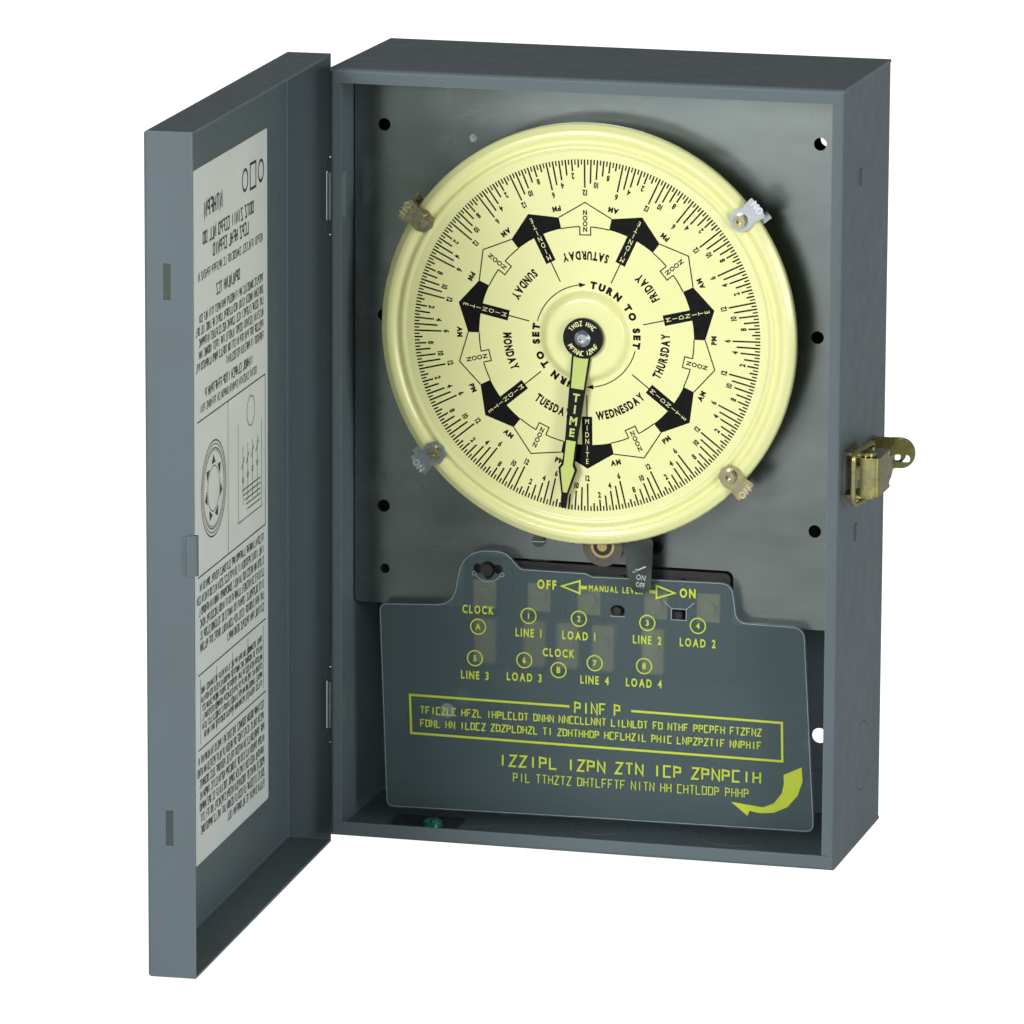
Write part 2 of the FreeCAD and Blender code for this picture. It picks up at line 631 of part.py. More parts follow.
def gears():
    """Dial wheel, drive pinion, day wheel and the motor's pinion, in mesh."""
    high, across = gear_places()
    middle = size("dial_across")
    dial_teeth, pinion_teeth = int(size("dial_teeth")), int(size("pinion_teeth"))
    day_teeth, motor_teeth = int(size("day_teeth")), int(size("motor_teeth"))
    dial_wheel = wheel(dial_teeth, size("dial_module"), 0, 8.0, 21.5, 23.5, middle,
                       size("dial_high"))
    node("dial_gear", shape_piece("dial_gear", dial_wheel))
    facing = 180 + 180 / pinion_teeth
    pinion = wheel(pinion_teeth, size("dial_module"), facing, size("gear_shaft"), 20.8, 24.2, middle, high)
    node("drive_pinion", shape_piece("drive_pinion", pinion))
    towards_motor = -90
    day = wheel(day_teeth, size("day_module"), towards_motor, size("gear_shaft"), 35, 37, middle, high)
    node("day_gear", shape_piece("day_gear", day))
    motor_turn = 90 + 180 / motor_teeth
    motor_wheel = wheel(motor_teeth, size("day_module"), motor_turn, 1.5, 34.5, 37.5, across, high)
    spindle = rod("1.5", "y", (MOTOR_ACROSS, GEAR_HIGH), depths(34, 41.8))
    node("motor_pinion", join(shape_piece("motor_wheel", motor_wheel), spindle))
    centre = ("dial_across", GEAR_HIGH)
    node("gear_shaft", rod("gear_shaft", "y", centre, depths(20.2, 38.5)))
    bush = join(ring("gear_shaft + 2", "gear_bore", "y", centre, depths("plate_face - 1", "plate_face + 3.2")),
                ring("gear_shaft + 4", "gear_bore", "y", centre,
                     depths("plate_face + plate_steel", "plate_face + plate_steel + 1")))
    node("gear_bushing", bush)


def motor():
    """Synchronous clock motor on a bracket behind the plate."""
    centre = (MOTOR_ACROSS, GEAR_HIGH)
    can = cut(join(rod("23", "y", centre, depths(42, 66)), rod("21", "y", centre, depths(66, 68))),
              ring("24", "22.2", "y", centre, depths(52, 54)))
    leads = [rod("1.1", "y", (f"{MOTOR_ACROSS} + {shift}", f"{GEAR_HIGH} - 14"), depths(68, 72)) for shift in (-3, 3)]
    node("motor_housing", join(can, *leads))
    gearcase = join(rod("9", "y", centre, depths(39.4, 42)))
    boss = cut(gearcase, rod("1.56", "y", centre, depths(38, 43)))
    node("motor_gearcase", boss)
    plate = front_piece("bracket_sheet", rounded([(-58, 70, 3), (-5, 70, 3), (-5, 92, 3), (-14, 104, 6),
                                                  (-14, 132, 3), (-58, 132, 3)]), "38", "39.4")
    window = rod("7.5", "y", centre, depths(37, 41))
    holes = [rod("1.6", "y", place, depths(37, 41)) for place in POST_PLACES]
    node("motor_bracket", cut(plate, window, *holes))
    spacers = [join(rod("3", "y", place, depths("plate_face + plate_steel", 38)),
                    rod("1.6", "y", place, depths("plate_face", 39.4)),
                    rod("2.6", "y", place, depths(39.4, 41.2))) for place in POST_PLACES]
    node("motor_posts", join(*spacers))


# ---------------------------------------------------------------- pointer and centre

POINTER_LEAN = 6.5


def time_pointer():
    """Fixed pointer from the arbor to the hour scale."""
    lean = math.radians(POINTER_LEAN)
    half = [(1.2, 70.4, 0.4), (1.4, 64.8, 1.0), (3.9, 54.2, 0.6), (2.6, 52.0, 0.6), (2.55, 42.5, 0), (3.9, 7.0, 0)]
    corners = half + [(-u, v, r) for u, v, r in reversed(half)]
    high = size("dial_high")
    turned_corners = []
    for u, v, r in corners:
        along, across = v * math.cos(lean) - u * math.sin(lean), -v * math.sin(lean) - u * math.cos(lean)
        turned_corners.append((size("dial_across") + across, high - along, r))
    blade = front_piece("pointer_blade", rounded(turned_corners), "4.4", "5.2")
    centre = ("dial_across", "dial_high")
    disc = rod("hub_disc", "y", centre, depths(4.4, 5.2))
    node("time_pointer", cut(join(blade, disc), rod("1.6", "y", centre, depths(3, 7))))
    node("hub_disc", cut(rod("hub_disc", "y", centre, depths(3.5, 4.4)), rod("1.6", "y", centre, depths(3, 7))))
    head = cut(join(rod("3.3", "y", centre, depths(2.7, 3.5)), cone(1.9, 3.3, "y", centre, depths(1.9, 2.7))),
               rod("1.1", "y", centre, depths(1.5, 2.8)))
    node("hub_screw", join(head, rod("1.6", "y", centre, depths(3.5, 14))))


# ---------------------------------------------------------------- trippers

TRIPPERS = {"1_off": -57.2, "2_on": 51.6, "3_off": 131.8, "4_on": -129.2}


def tripper(label, angle):
    """ON or OFF clip on the rim: front plate, bridge over the edge, rear leg and trip dog."""
    edge = size("dial") + 0.5
    outline = rounded([(-4.8, 90.0, 0.8), (0, 90.8, 8), (4.8, 90.0, 0.8), (4.2, 86.6, 2.0), (3.6, 85.0, 2.0),
                       (4.9, 81.5, 2.5), (3.6, 77.6, 1.6), (0, 76.0, 0.8), (-3.6, 77.6, 1.6), (-4.9, 81.5, 2.5),
                       (-3.6, 85.0, 2.0), (-4.2, 86.6, 2.0)])
    face = front_piece("tripper_face", outline, "7.3", "8.2")
    bridge = block(("-3", "3"), depths(7.8, 15), (f"{edge}", f"{edge} + 0.9"))
    rear = block(("-3", "3"), depths(14, 15), (f"{edge} - 6", f"{edge} + 0.9"))
    dog = block(("3", "6.5"), depths(14, 15), (f"{edge} - 3", f"{edge} + 3.5"))
    hole = rod("1.2", "y", ("0", "80.6"), depths(6, 10))
    plate = cut(join(face, bridge, rear, dog), hole)
    ferrule = cut(join(rod("2.9", "y", ("0", "80.6"), depths(5.9, 7.3)), rod("2.5", "y", ("0", "80.6"), depths(5.2, 5.9)),
                       rod("1.2", "y", ("0", "80.6"), depths(7.2, 8.2))), rod("1.1", "y", ("0", "80.6"), depths(5, 6.6)))
    for name, item in (("plate", plate), ("screw", ferrule)):
        item.Placement = Placement(Vector(), Rotation(Vector(0, 1, 0), angle))
        bind(item, Placement__Base__x="dial_across", Placement__Base__z="dial_high")
        node(f"tripper_{label}_{name}", item)


# ---------------------------------------------------------------- switch

def manual_lever():
    """Trip cam on its shaft, with the plated ON-OFF lever and a retaining ring."""
    x0, z0 = size("cam_across"), size("cam_high")
    centre = ("cam_across", "cam_high")
    lever = rounded([(x0 - 4, z0 + 5.5, 4), (x0 + 13, z0 + 7, 5), (25.3, -30.0, 3), (24.9, -46.0, 0),
                     (24.4, -52.9, 3.9), (15.7, -52.9, 4.2), (15.6, -48.0, 0), (13.0, -35.4, 1),
                     (x0 + 4, z0 - 4.5, 3), (x0 - 5.2, z0 - 3, 4)])
    blade = front_piece("lever_blade", lever, "17.6", "18.7")
    node("manual_lever", cut(blade, rod("5", "y", centre, depths(16, 20))))
    cam = join(rod("cam", "y", centre, depths(18.7, 24)), rod("5", "y", centre, depths(16.8, 18.7)),
               rod("cam + 0.3", "y", centre, depths(16.8, 17.6)))
    flat = block(("cam_across - 3.2", "cam_across + 3.2"), depths(18, 25),
                 ("cam_high - cam - 1", "cam_high - cam + 0.5"))
    node("trip_cam", cut(cam, flat, rod("cam_shaft", "y", centre, depths(16, 25))))
    node("cam_shaft", rod("cam_shaft", "y", centre, depths(16, 46)))
    clip = cut(ring("3.7", "cam_shaft", "y", centre, depths(16.3, 16.8)),
               block(("cam_across - 0.9", "cam_across + 0.9"), depths(16, 17), ("cam_high", "cam_high + 5")))
    node("cam_clip", clip)
    node("cam_bushing", ring("cam_shaft + 2", "cam_bore", "y", centre, depths("plate_face - 2.5", "plate_face + 3")))
    crank_pin = (x0, z0 + CRANK)
    crank = join(rod("4.5", "y", centre, depths(42, 45)), rod("3", "y", crank_pin, depths(42, 45)),
                 block((x0 - 2.6, x0 + 2.6), depths(42, 45), (z0, z0 + CRANK)),
                 rod("1.5", "y", crank_pin, depths(45, 51)))
    leaning = cut(crank, rod("cam_shaft", "y", centre, depths(41, 52)))
    turn = Rotation(Vector(0, 1, 0), CRANK_REST)
    leaning.Placement = Placement(Vector(), turn, Vector(x0, 0, z0))
    node("cam_crank", leaning)


CRANK, CRANK_REST = 5.4, -22.5


CONTACTS = (-40, -18, 18, 38)
REACH = 4.5


def carriage_place():
    """X of the carriage's middle at rest, under the crank's pin, and its height."""
    lean = math.radians(CRANK_REST)
    return size("cam_across") + CRANK * math.sin(lean), size("cam_high") + CRANK


def contact_carriage():
    """Sliding bar behind the block that the crank moves sideways, with four contact bridges."""
    rest, high = carriage_place()
    bar = block((rest - 52, rest + 50), depths(46.5, 52), (high - 6, high + 6))
    slot = block((rest - 1.65, rest + 1.65), depths(45, 53), (high - 2.6, high + 2.4))
    node("contact_carriage", cut(bar, slot))
    bridges = []
    for place in CONTACTS:
        left = rest + place
        bridges.append(block((left - 6.2, left + 6.2), depths(52, 53), (high - 3, high + 3)))
        for end in (-REACH, REACH):
            bridges.append(rod("1.6", "y", (left + end, high), depths(53, 54.2)))
    node("moving_contacts", join(*bridges))


def terminal_block():
    """Black phenolic block with barriers; its top shows in the plate's opening."""
    upper = front_piece("block_upper", box_outline(size("block_left"), size("block_right"), -66, size("block_top"), 2.5),
                        "28.4", "39")
    lower = block(("block_left", "block_right"), depths(38, 60), (-94, -58))
    parts = [upper, lower]
    for across in BARRIERS:
        parts.append(block((across - 1.1, across + 1.1), depths(26, 29), (-66, "block_top - 3")))
    cuts = []
    for across in UPPER_TERMINALS:
        cuts.append(block((across - 5, across + 5), depths(27.5, 30), (-66.5, -54)))
        cuts.append(rod("1.8", "y", (across, UPPER_HIGH), depths(29, 35)))
    for across in LOWER_TERMINALS:
        cuts.append(rod("1.8", "y", (across, LOWER_HIGH), depths(37, 44)))
    cuts.append(rod(STUD, "y", STUD_PLACE, depths(26, 36)))
    pads = [block((across - 4.5, across + 4.5), depths(31.5, 40), (-50, -33)) for across, _ in SCREW_PLACES]
    for across, high in SCREW_PLACES:
        cuts.append(rod("1.7", "y", (across, high), depths(31, 41)))
    node("terminal_block", cut(join(*parts, *pads), *cuts))


UPPER_TERMINALS, UPPER_HIGH = (-48.0, -25.0, -4.0, 24.0, 46.0), -60.0
LOWER_TERMINALS, LOWER_HIGH = (-50.0, -29.0, -15.0, 0.0, 21.0), -80.0
BARRIERS = (-37.0, -14.6, 10.0, 35.0)
STUD, STUD_PLACE, POST_HIGH = "1.6", (-45.2, -48.2), -62.3


def terminals():
    """Brass plates under the screws, and the screws, in two rows of five."""
    plates, screws = [], []
    rows = ((UPPER_TERMINALS, UPPER_HIGH, 29, 4.8, (-66, -54.2)), (LOWER_TERMINALS, LOWER_HIGH, 37, 4.5, (-91, -72)))
    for places, high, face, wide, tall in rows:
        for across in places:
            plates.append(cut(block((across - wide, across + wide), depths(face, face + 1), tall),
                              rod("1.8", "y", (across, high), depths(face - 1, face + 2))))
            screws.append(screw(1.8, 3.2, across, high, face - 2.4, face, face + 5))
    node("terminal_plates", join(*plates))
    node("terminal_screws", join(*screws))


def fixed_contacts():
    """Fixed contact fingers on top of the block's rear part, facing the moving bridges."""
    rest, high = carriage_place()
    fingers = []
    for place in CONTACTS:
        for end in (-REACH, REACH):
            across = rest + place + end
            wide = (across - 1.5, across + 1.5)
            fingers.append(join(block(wide, depths(55.7, 56.7), (-58, -25.4)), block(wide, depths(51, 55.7), (-58, -57)),
                                rod("1.6", "y", (across, high), depths(54.5, 55.7))))
    node("fixed_contacts", join(*fingers))


def carriage_rails():
    """Two pairs of guides on the back of the plate that the contact carriage slides between."""
    high = carriage_place()[1]
    rails = []
    for side in (-1, 1):
        span = sorted_pair(high + side * 6.3, high + side * 8.3, side)
        for across in (-45, 33):
            rails.append(block((across, across + 12), depths("plate_face + plate_steel", 51), span))
    node("carriage_rails", join(*rails))


def detent_spring():
    """Leaf spring screwed to the plate that holds the cam at ON or OFF."""
    x1, z1 = SPRING_SCREW
    leaf = front_piece("spring_leaf", rounded([(x1 - 3, z1 - 3, 1.5), (x1 - 3, z1 + 3, 1.5), (x1 + 3, z1 + 3, 1.5),
                                               (x1 + 3, z1 - 1, 1), (-6.6, -32.4, 0.3), (-8.8, -35.6, 0.3),
                                               (-11.2, -33.2, 0.5)]), "21.5", "22.2")
    foot = rod("3", "y", (x1, z1), depths(22.2, "plate_face"))
    node("detent_spring", cut(join(leaf, foot), rod("1.4", "y", (x1, z1), depths(20, 31))))


# ---------------------------------------------------------------- insulator

def insulator():
    """Translucent barrier sheet in front of the terminals."""
    corners = [(-91.4, -65.2, 3), (-60.2, -63.8, 9), (-56.2, -40.2, 13.5), (-37.8, -40.4, 8.5), (-31.4, -47.2, 4),
               (-4.0, -47.3, 1), (-1.2, -48.5, 1), (57.2, -47.8, 5), (59.4, -63.8, 5), (87.4, -64.3, 5),
               (92.6, -149.6, 3.5), (0.0, -150.2, 0), (-88.2, -151.3, 3)]
    keyhole = (STUD_PLACE[0], STUD_PLACE[1])
    sheet = front_piece("insulator_blank", rounded(corners), "sheet_face", "sheet_face + sheet_thick")
    through_sheet = depths("sheet_face - 2", "sheet_face + 3")
    holes = [rod("3.2", "y", keyhole, through_sheet)]
    for across, high in ((-4.2, 0), (4.2, 0), (0, -2.4)):
        holes.append(rod("2.0", "y", (keyhole[0] + across, keyhole[1] + high), through_sheet))
    holes.append(front_piece("oval", pill("oval", 6.4, 12.4, POST_HIGH - 2.3, POST_HIGH + 2.3),
                             "sheet_face - 2", "sheet_face + 3"))
    holes.append(front_piece("snap", box_outline(32.0, 38.0, POST_HIGH - 2.2, POST_HIGH + 2.2, 0.4),
                             "sheet_face - 2", "sheet_face + 3"))
    node("insulator_sheet", cut(sheet, *holes))
    stud = join(rod(STUD, "y", STUD_PLACE, depths(21.8, 35)), rod("2.4", "y", STUD_PLACE, depths(21.0, 21.8)))
    posts = join(front_piece("snap_post", box_outline(33.6, 36.4, POST_HIGH - 1.2, POST_HIGH + 1.2, 0.3), "22.6", "26"),
                 rod("1.6", "y", (9.4, POST_HIGH), depths(22.8, 26)))
    node("insulator_posts", join(stud, posts))


# ---------------------------------------------------------------- grounding

def ground_parts():
    """Green grounding screw on a bonding plate on the floor."""
    floor = "(steel - case_tall / 2)"
    plate = block(("-84", "-57"), depths(11, 33), (floor, f"{floor} + 1.2"))
    hole = rod("2", "z", ("-66.5", front(17)), (f"{floor} - 1", f"{floor} + 3"))
    node("ground_plate", cut(plate, hole))
    centre = ("-66.5", front(17))
    head = join(rod("4.0", "z", centre, (f"{floor} + 1.2", f"{floor} + 3.4")),
                cone(3.6, 2.4, "z", centre, (f"{floor} + 3.4", f"{floor} + 4.4")))
    shank = rod("2", "z", centre, (f"{floor}", f"{floor} + 1.2"))
    slot = block(("-66.9", "-66.1"), depths(12, 22), (f"{floor} + 3.2", f"{floor} + 6"))
    node("ground_screw", cut(join(head, shank), slot))


# ---------------------------------------------------------------- build, check and write

def build():
    case_wrap()
    case_cap("case_top_cap", 1)
    case_cap("case_bottom_cap", -1)
    case_hinge("case_hinge_upper", "hinge_high")
    case_hinge("case_hinge_lower", "-hinge_high")
    door_pieces()
    latch_base()
    latch_rivets()
    latch_lever()
    latch_lever_pin()
    latch_wire()
    mechanism_plate()
    plate_screws()
    dial_arbor()
    dial_hub()
    dial_plate()
    gears()
    motor()
    time_pointer()
    for label, angle in TRIPPERS.items():
        tripper(label, angle)
    manual_lever()
    contact_carriage()
    carriage_rails()
    terminal_block()
    terminals()
    fixed_contacts()
    detent_spring()
    insulator()
    ground_parts()


def check():
    doc.recompute()
    for item in doc.Objects:
        if "Invalid" in item.State or "Error" in item.State:
            raise RuntimeError(f"{item.Name} ({item.Label}) failed: {item.State}")
    for item in nodes:
        if item.Shape.isNull() or not item.Shape.isValid() or not item.Shape.Solids:
            raise RuntimeError(f"{item.Label} has no valid solid")


def write():
    os.makedirs("parts", exist_ok=True)
    for item in nodes:
        item.Shape.exportStep(f"parts/{item.Label}.step")
        box = item.Shape.BoundBox
        print(f"{item.Label:24s} {len(item.Shape.Solids)} solid(s), {item.Shape.Volume:10.1f} mm3, "
              f"x {box.XMin:7.1f} {box.XMax:7.1f}  y {box.YMin:7.1f} {box.YMax:7.1f}  z {box.ZMin:7.1f} {box.ZMax:7.1f}")


build()
check()
write()
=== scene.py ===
"""Looks of a seven-day dial time switch: paint, plating, print and light on its CAD frame."""

import math
import random

import bpy
from mathutils import Matrix, Vector
from mathutils.geometry import tessellate_polygon


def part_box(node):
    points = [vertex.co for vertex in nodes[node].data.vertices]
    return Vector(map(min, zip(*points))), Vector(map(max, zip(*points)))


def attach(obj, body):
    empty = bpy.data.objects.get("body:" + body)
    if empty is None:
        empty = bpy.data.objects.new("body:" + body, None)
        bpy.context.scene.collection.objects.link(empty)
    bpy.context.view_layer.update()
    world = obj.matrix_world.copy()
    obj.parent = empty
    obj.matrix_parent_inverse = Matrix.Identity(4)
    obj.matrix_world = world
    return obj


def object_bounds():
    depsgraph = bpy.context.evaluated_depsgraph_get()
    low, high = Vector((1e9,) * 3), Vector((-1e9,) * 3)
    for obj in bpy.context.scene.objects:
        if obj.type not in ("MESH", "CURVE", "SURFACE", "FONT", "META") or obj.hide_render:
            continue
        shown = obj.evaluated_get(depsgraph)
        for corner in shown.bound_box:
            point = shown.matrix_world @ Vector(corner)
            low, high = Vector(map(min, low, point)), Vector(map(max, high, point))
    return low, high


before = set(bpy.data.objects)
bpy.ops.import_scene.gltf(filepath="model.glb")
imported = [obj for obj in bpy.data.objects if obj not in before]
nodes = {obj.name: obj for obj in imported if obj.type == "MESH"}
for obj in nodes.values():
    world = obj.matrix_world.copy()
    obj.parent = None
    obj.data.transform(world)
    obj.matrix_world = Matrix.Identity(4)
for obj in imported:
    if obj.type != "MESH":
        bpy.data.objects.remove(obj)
cad_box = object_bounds()

MM = 0.001
scene = bpy.context.scene

# ---------------------------------------------------------------- places, from the frame

case_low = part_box("case_wrap")[0]
sheet_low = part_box("insulator_sheet")[0]
pointer_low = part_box("time_pointer")[0]
dial_low, dial_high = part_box("dial_plate")
hub_low, hub_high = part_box("hub_disc")
CASE_FRONT = case_low.y
DIAL = (dial_low + dial_high) / 2
HUB = (hub_low + hub_high) / 2
ORIGIN = Vector((0, 0, 0))


def depth(millimetres):
    """Y of a point this deep behind the case's front edge."""
    return CASE_FRONT + millimetres * MM


# ---------------------------------------------------------------- materials

class Surface:
    """A Principled material whose colour, roughness and relief come from procedural noise."""

    def __init__(self, name, colour, rough, metal=0.0):
        self.material = bpy.data.materials.new(name)
        self.material.use_nodes = True
        self.tree = self.material.node_tree
        self.shader = self.tree.nodes["Principled BSDF"]
        self.colour = colour
        self.set("Base Color", (*colour, 1))
        self.set("Roughness", rough)
        self.set("Metallic", metal)
        self.place = self.tree.nodes.new("ShaderNodeTexCoord").outputs["Object"]
        self.relief = None

    def set(self, socket, value):
        self.shader.inputs[socket].default_value = value
        return self

    def link(self, source, socket):
        self.tree.links.new(source, socket)

    def noise(self, size, stretch=(1, 1, 1), detail=3.0, rough=0.55):
        """Noise with features of this size in millimetres, drawn out along an axis by stretch."""
        mapping = self.tree.nodes.new("ShaderNodeMapping")
        mapping.inputs["Scale"].default_value = [1 / s for s in stretch]
        self.link(self.place, mapping.inputs["Vector"])
        noise = self.tree.nodes.new("ShaderNodeTexNoise")
        noise.inputs["Scale"].default_value = 1 / (size * MM)
        noise.inputs["Detail"].default_value = detail
        noise.inputs["Roughness"].default_value = rough
        self.link(mapping.outputs["Vector"], noise.inputs["Vector"])
        return noise.outputs["Fac"]

    def ramp(self, source, low, high, start=0.35, end=0.65):
        ramp = self.tree.nodes.new("ShaderNodeMapRange")
        limits = {"From Min": start, "From Max": end, "To Min": low, "To Max": high}
        for name, value in limits.items():
            ramp.inputs[name].default_value = value
        self.link(source, ramp.inputs["Value"])
        return ramp.outputs["Result"]

    def tint(self, source, other, share=1.0, start=0.35, end=0.65):
        """Colour goes from the base colour towards another where the noise is high."""
        mix = self.tree.nodes.new("ShaderNodeMix")
        mix.data_type = "RGBA"
        self.link(self.ramp(source, 0.0, share, start, end), mix.inputs["Factor"])
        before = self.shader.inputs["Base Color"]
        if before.is_linked:
            self.link(before.links[0].from_socket, mix.inputs["A"])
        else:
            mix.inputs["A"].default_value = (*self.colour, 1)
        mix.inputs["B"].default_value = (*other, 1)
        self.link(mix.outputs["Result"], before)

    def polish(self, source, low, high):
        self.link(self.ramp(source, low, high), self.shader.inputs["Roughness"])

    def bump(self, source, height):
        """Relief of this height in millimetres."""
        bump = self.tree.nodes.new("ShaderNodeBump")
        bump.inputs["Distance"].default_value = height * MM
        self.link(source, bump.inputs["Height"])
        if self.relief:
            self.link(self.relief, bump.inputs["Normal"])
        self.relief = bump.outputs["Normal"]
        self.link(self.relief, self.shader.inputs["Normal"])

    def wear(self, width, other, share):
        """Edges and corners within this width in millimetres take another colour, a painted
        highlight on their rounding.
        """
        bevel = self.tree.nodes.new("ShaderNodeBevel")
        bevel.inputs["Radius"].default_value = width * MM
        true_normal = self.tree.nodes.new("ShaderNodeNewGeometry").outputs["Normal"]
        dot = self.tree.nodes.new("ShaderNodeVectorMath")
        dot.operation = "DOT_PRODUCT"
        self.link(bevel.outputs["Normal"], dot.inputs[0])
        self.link(true_normal, dot.inputs[1])
        flat = self.ramp(dot.outputs["Value"], 1.0, 0.0, 0.80, 0.985)
        self.tint(flat, other, share, 0.0, 1.0)


def enamel():
    paint = Surface("grey_enamel", (0.134, 0.179, 0.196), 0.42)
    paint.tint(paint.noise(60, detail=2), (0.128, 0.160, 0.176), 0.8)
    paint.tint(paint.noise(0.7, detail=2), (0.160, 0.198, 0.215), 0.3)
    # lighter edges and corners: a painted highlight on the sheet's rounded bends
    paint.wear(0.7, (0.24, 0.29, 0.31), 0.6)
    paint.polish(paint.noise(9), 0.38, 0.46)
    paint.set("Specular IOR Level", 0.22)
    paint.bump(paint.noise(1.3, detail=2), 0.005)
    return paint.material


def plated_sheet():
    """Zinc-plated steel with a fine rolling grain and cloudy passivation."""
    zinc = Surface("plated_sheet", (0.205, 0.24, 0.23), 0.32, 0.92)
    zinc.tint(zinc.noise(22, (3, 1, 1), 4), (0.27, 0.31, 0.30), 0.8)
    zinc.tint(zinc.noise(0.5, (14, 1, 1), 2), (0.22, 0.25, 0.25), 0.25)
    zinc.polish(zinc.noise(12, (2, 1, 1), 4), 0.22, 0.28)
    zinc.bump(zinc.noise(0.5, (12, 1, 1), 2), 0.003)
    return zinc.material


def yellow_zinc():
    """Yellow chromate that runs from olive to straw, with dark handling marks."""
    zinc = Surface("yellow_zinc", (0.34, 0.34, 0.16), 0.3, 0.95)
    zinc.tint(zinc.noise(9, detail=3), (0.47, 0.43, 0.17), 0.9)
    zinc.tint(zinc.noise(4, detail=3), (0.20, 0.21, 0.12), 0.5, 0.5, 0.8)
    zinc.polish(zinc.noise(3), 0.22, 0.36)
    zinc.bump(zinc.noise(1.2, detail=2), 0.006)
    return zinc.material


def gold_plate():
    gold = Surface("gold_plate", (0.50, 0.44, 0.24), 0.26, 1.0)
    gold.tint(gold.noise(4, detail=3), (0.36, 0.38, 0.27), 0.8)
    gold.polish(gold.noise(2.5), 0.2, 0.32)
    gold.bump(gold.noise(1.2, detail=2), 0.006)
    return gold.material


def bright_steel():
    steel = Surface("bright_steel", (0.52, 0.57, 0.60), 0.24, 1.0)
    steel.tint(steel.noise(6, detail=3), (0.42, 0.47, 0.50), 0.7)
    steel.polish(steel.noise(3), 0.2, 0.3)
    steel.bump(steel.noise(1.4, detail=2), 0.004)
    return steel.material


def brass():
    metal = Surface("brass", (0.62, 0.44, 0.17), 0.32, 1.0)
    metal.tint(metal.noise(3, detail=4), (0.46, 0.34, 0.16), 0.7)
    metal.polish(metal.noise(1.5), 0.25, 0.42)
    metal.bump(metal.noise(1.0, detail=2), 0.004)
    return metal.material


def dial_paint():
    paint = Surface("dial_paint", (0.98, 0.99, 0.47), 0.33)
    paint.tint(paint.noise(35, detail=2), (0.95, 0.97, 0.44), 0.7)
    paint.polish(paint.noise(6), 0.28, 0.38)
    paint.bump(paint.noise(1.1, detail=2), 0.004)
    paint.set("Coat Weight", 0.35).set("Coat Roughness", 0.12)
    return paint.material


def plain(name, colour, other, rough, metal=0.0, size=2.0, height=0.004, specular=0.5):
    """A surface with gentle mottling and a slightly uneven finish."""
    surface = Surface(name, colour, rough, metal)
    surface.tint(surface.noise(size * 3, detail=3), other, 0.8)
    surface.polish(surface.noise(size), rough * 0.85, rough * 1.15)
    if height:
        surface.bump(surface.noise(size * 0.6, detail=2), height)
    surface.set("Specular IOR Level", specular)
    return surface.material


def smoky_sheet():
    """Smoky plastic sheet, matt on both faces, so that what lies far behind it blurs."""
    film = Surface("smoky_sheet", (0.215, 0.305, 0.325), 0.22)
    film.tint(film.noise(60, detail=2), (0.20, 0.285, 0.305), 0.8)
    film.polish(film.noise(12), 0.2, 0.23)
    film.set("Transmission Weight", 0.5).set("IOR", 1.3).set("Alpha", 0.54)
    return film.material


ENAMEL = enamel()
PLATED = plated_sheet()
YELLOW_ZINC = yellow_zinc()
GOLD = gold_plate()
STEEL = bright_steel()
BRASS = brass()
DIAL_PAINT = dial_paint()
SMOKY = smoky_sheet()
BLACK = plain("black_phenolic", (0.012, 0.012, 0.013), (0.02, 0.02, 0.021), 0.45, size=3)
GLOSS_BLACK = plain("gloss_black", (0.002, 0.002, 0.002), (0.004, 0.004, 0.004), 0.3, specular=0.25)
SMOKE = plain("smoke_plastic", (0.115, 0.105, 0.08), (0.09, 0.083, 0.063), 0.3)
DARK_STEEL = plain("dark_steel", (0.07, 0.085, 0.08), (0.14, 0.17, 0.15), 0.22, 1.0, size=5)
PAPER = plain("label_paper", (0.88, 0.93, 0.91), (0.84, 0.90, 0.87), 0.6, size=20, height=0.001)
INK = plain("black_ink", (0.002, 0.002, 0.002), (0.004, 0.004, 0.004), 0.55, height=0,
            specular=0.15)
GREY_INK = plain("label_ink", (0.03, 0.035, 0.035), (0.05, 0.055, 0.055), 0.6, height=0)
LIME_INK = plain("lime_ink", (0.64, 0.77, 0.045), (0.60, 0.72, 0.04), 0.5, height=0)
POINTER_LIME = plain("pointer_lime", (0.63, 0.74, 0.21), (0.61, 0.72, 0.19), 0.35, height=0)
# raised marks in lighter copies of their metals: the extra lightness is a painted highlight on the
# raised tops
HIGHLIT_RAISED_STEEL = plain("highlit_raised_steel", (0.78, 0.82, 0.84), (0.70, 0.75, 0.77), 0.3, 0.8, height=0)
HIGHLIT_RAISED_GOLD = plain("highlit_raised_gold", (0.78, 0.72, 0.45), (0.70, 0.64, 0.38), 0.3, 0.8, height=0)
# light grey for the sheet's slits and outline: a painted highlight on cut edges
SLIT_HIGHLIGHT = plain("slit_edge_highlight", (0.34, 0.38, 0.40), (0.42, 0.46, 0.48), 0.4, height=0)
GREEN = plain("green_screw", (0.06, 0.30, 0.24), (0.08, 0.36, 0.28), 0.3, 0.6)
TERMINAL_BRASS = plain("terminal_brass", (0.95, 0.78, 0.36), (0.70, 0.55, 0.24), 0.35, 0.2, size=14)
HINGE_ZINC = plain("hinge_zinc", (0.30, 0.37, 0.38), (0.40, 0.48, 0.50), 0.3, 0.6, size=20)
BROWN = plain("carriage_phenolic", (0.16, 0.045, 0.025), (0.12, 0.035, 0.02), 0.5)


def dress(material, *names):
    """Gives CAD nodes this material."""
    for name in names:
        for slot in nodes[name].material_slots:
            slot.material = material


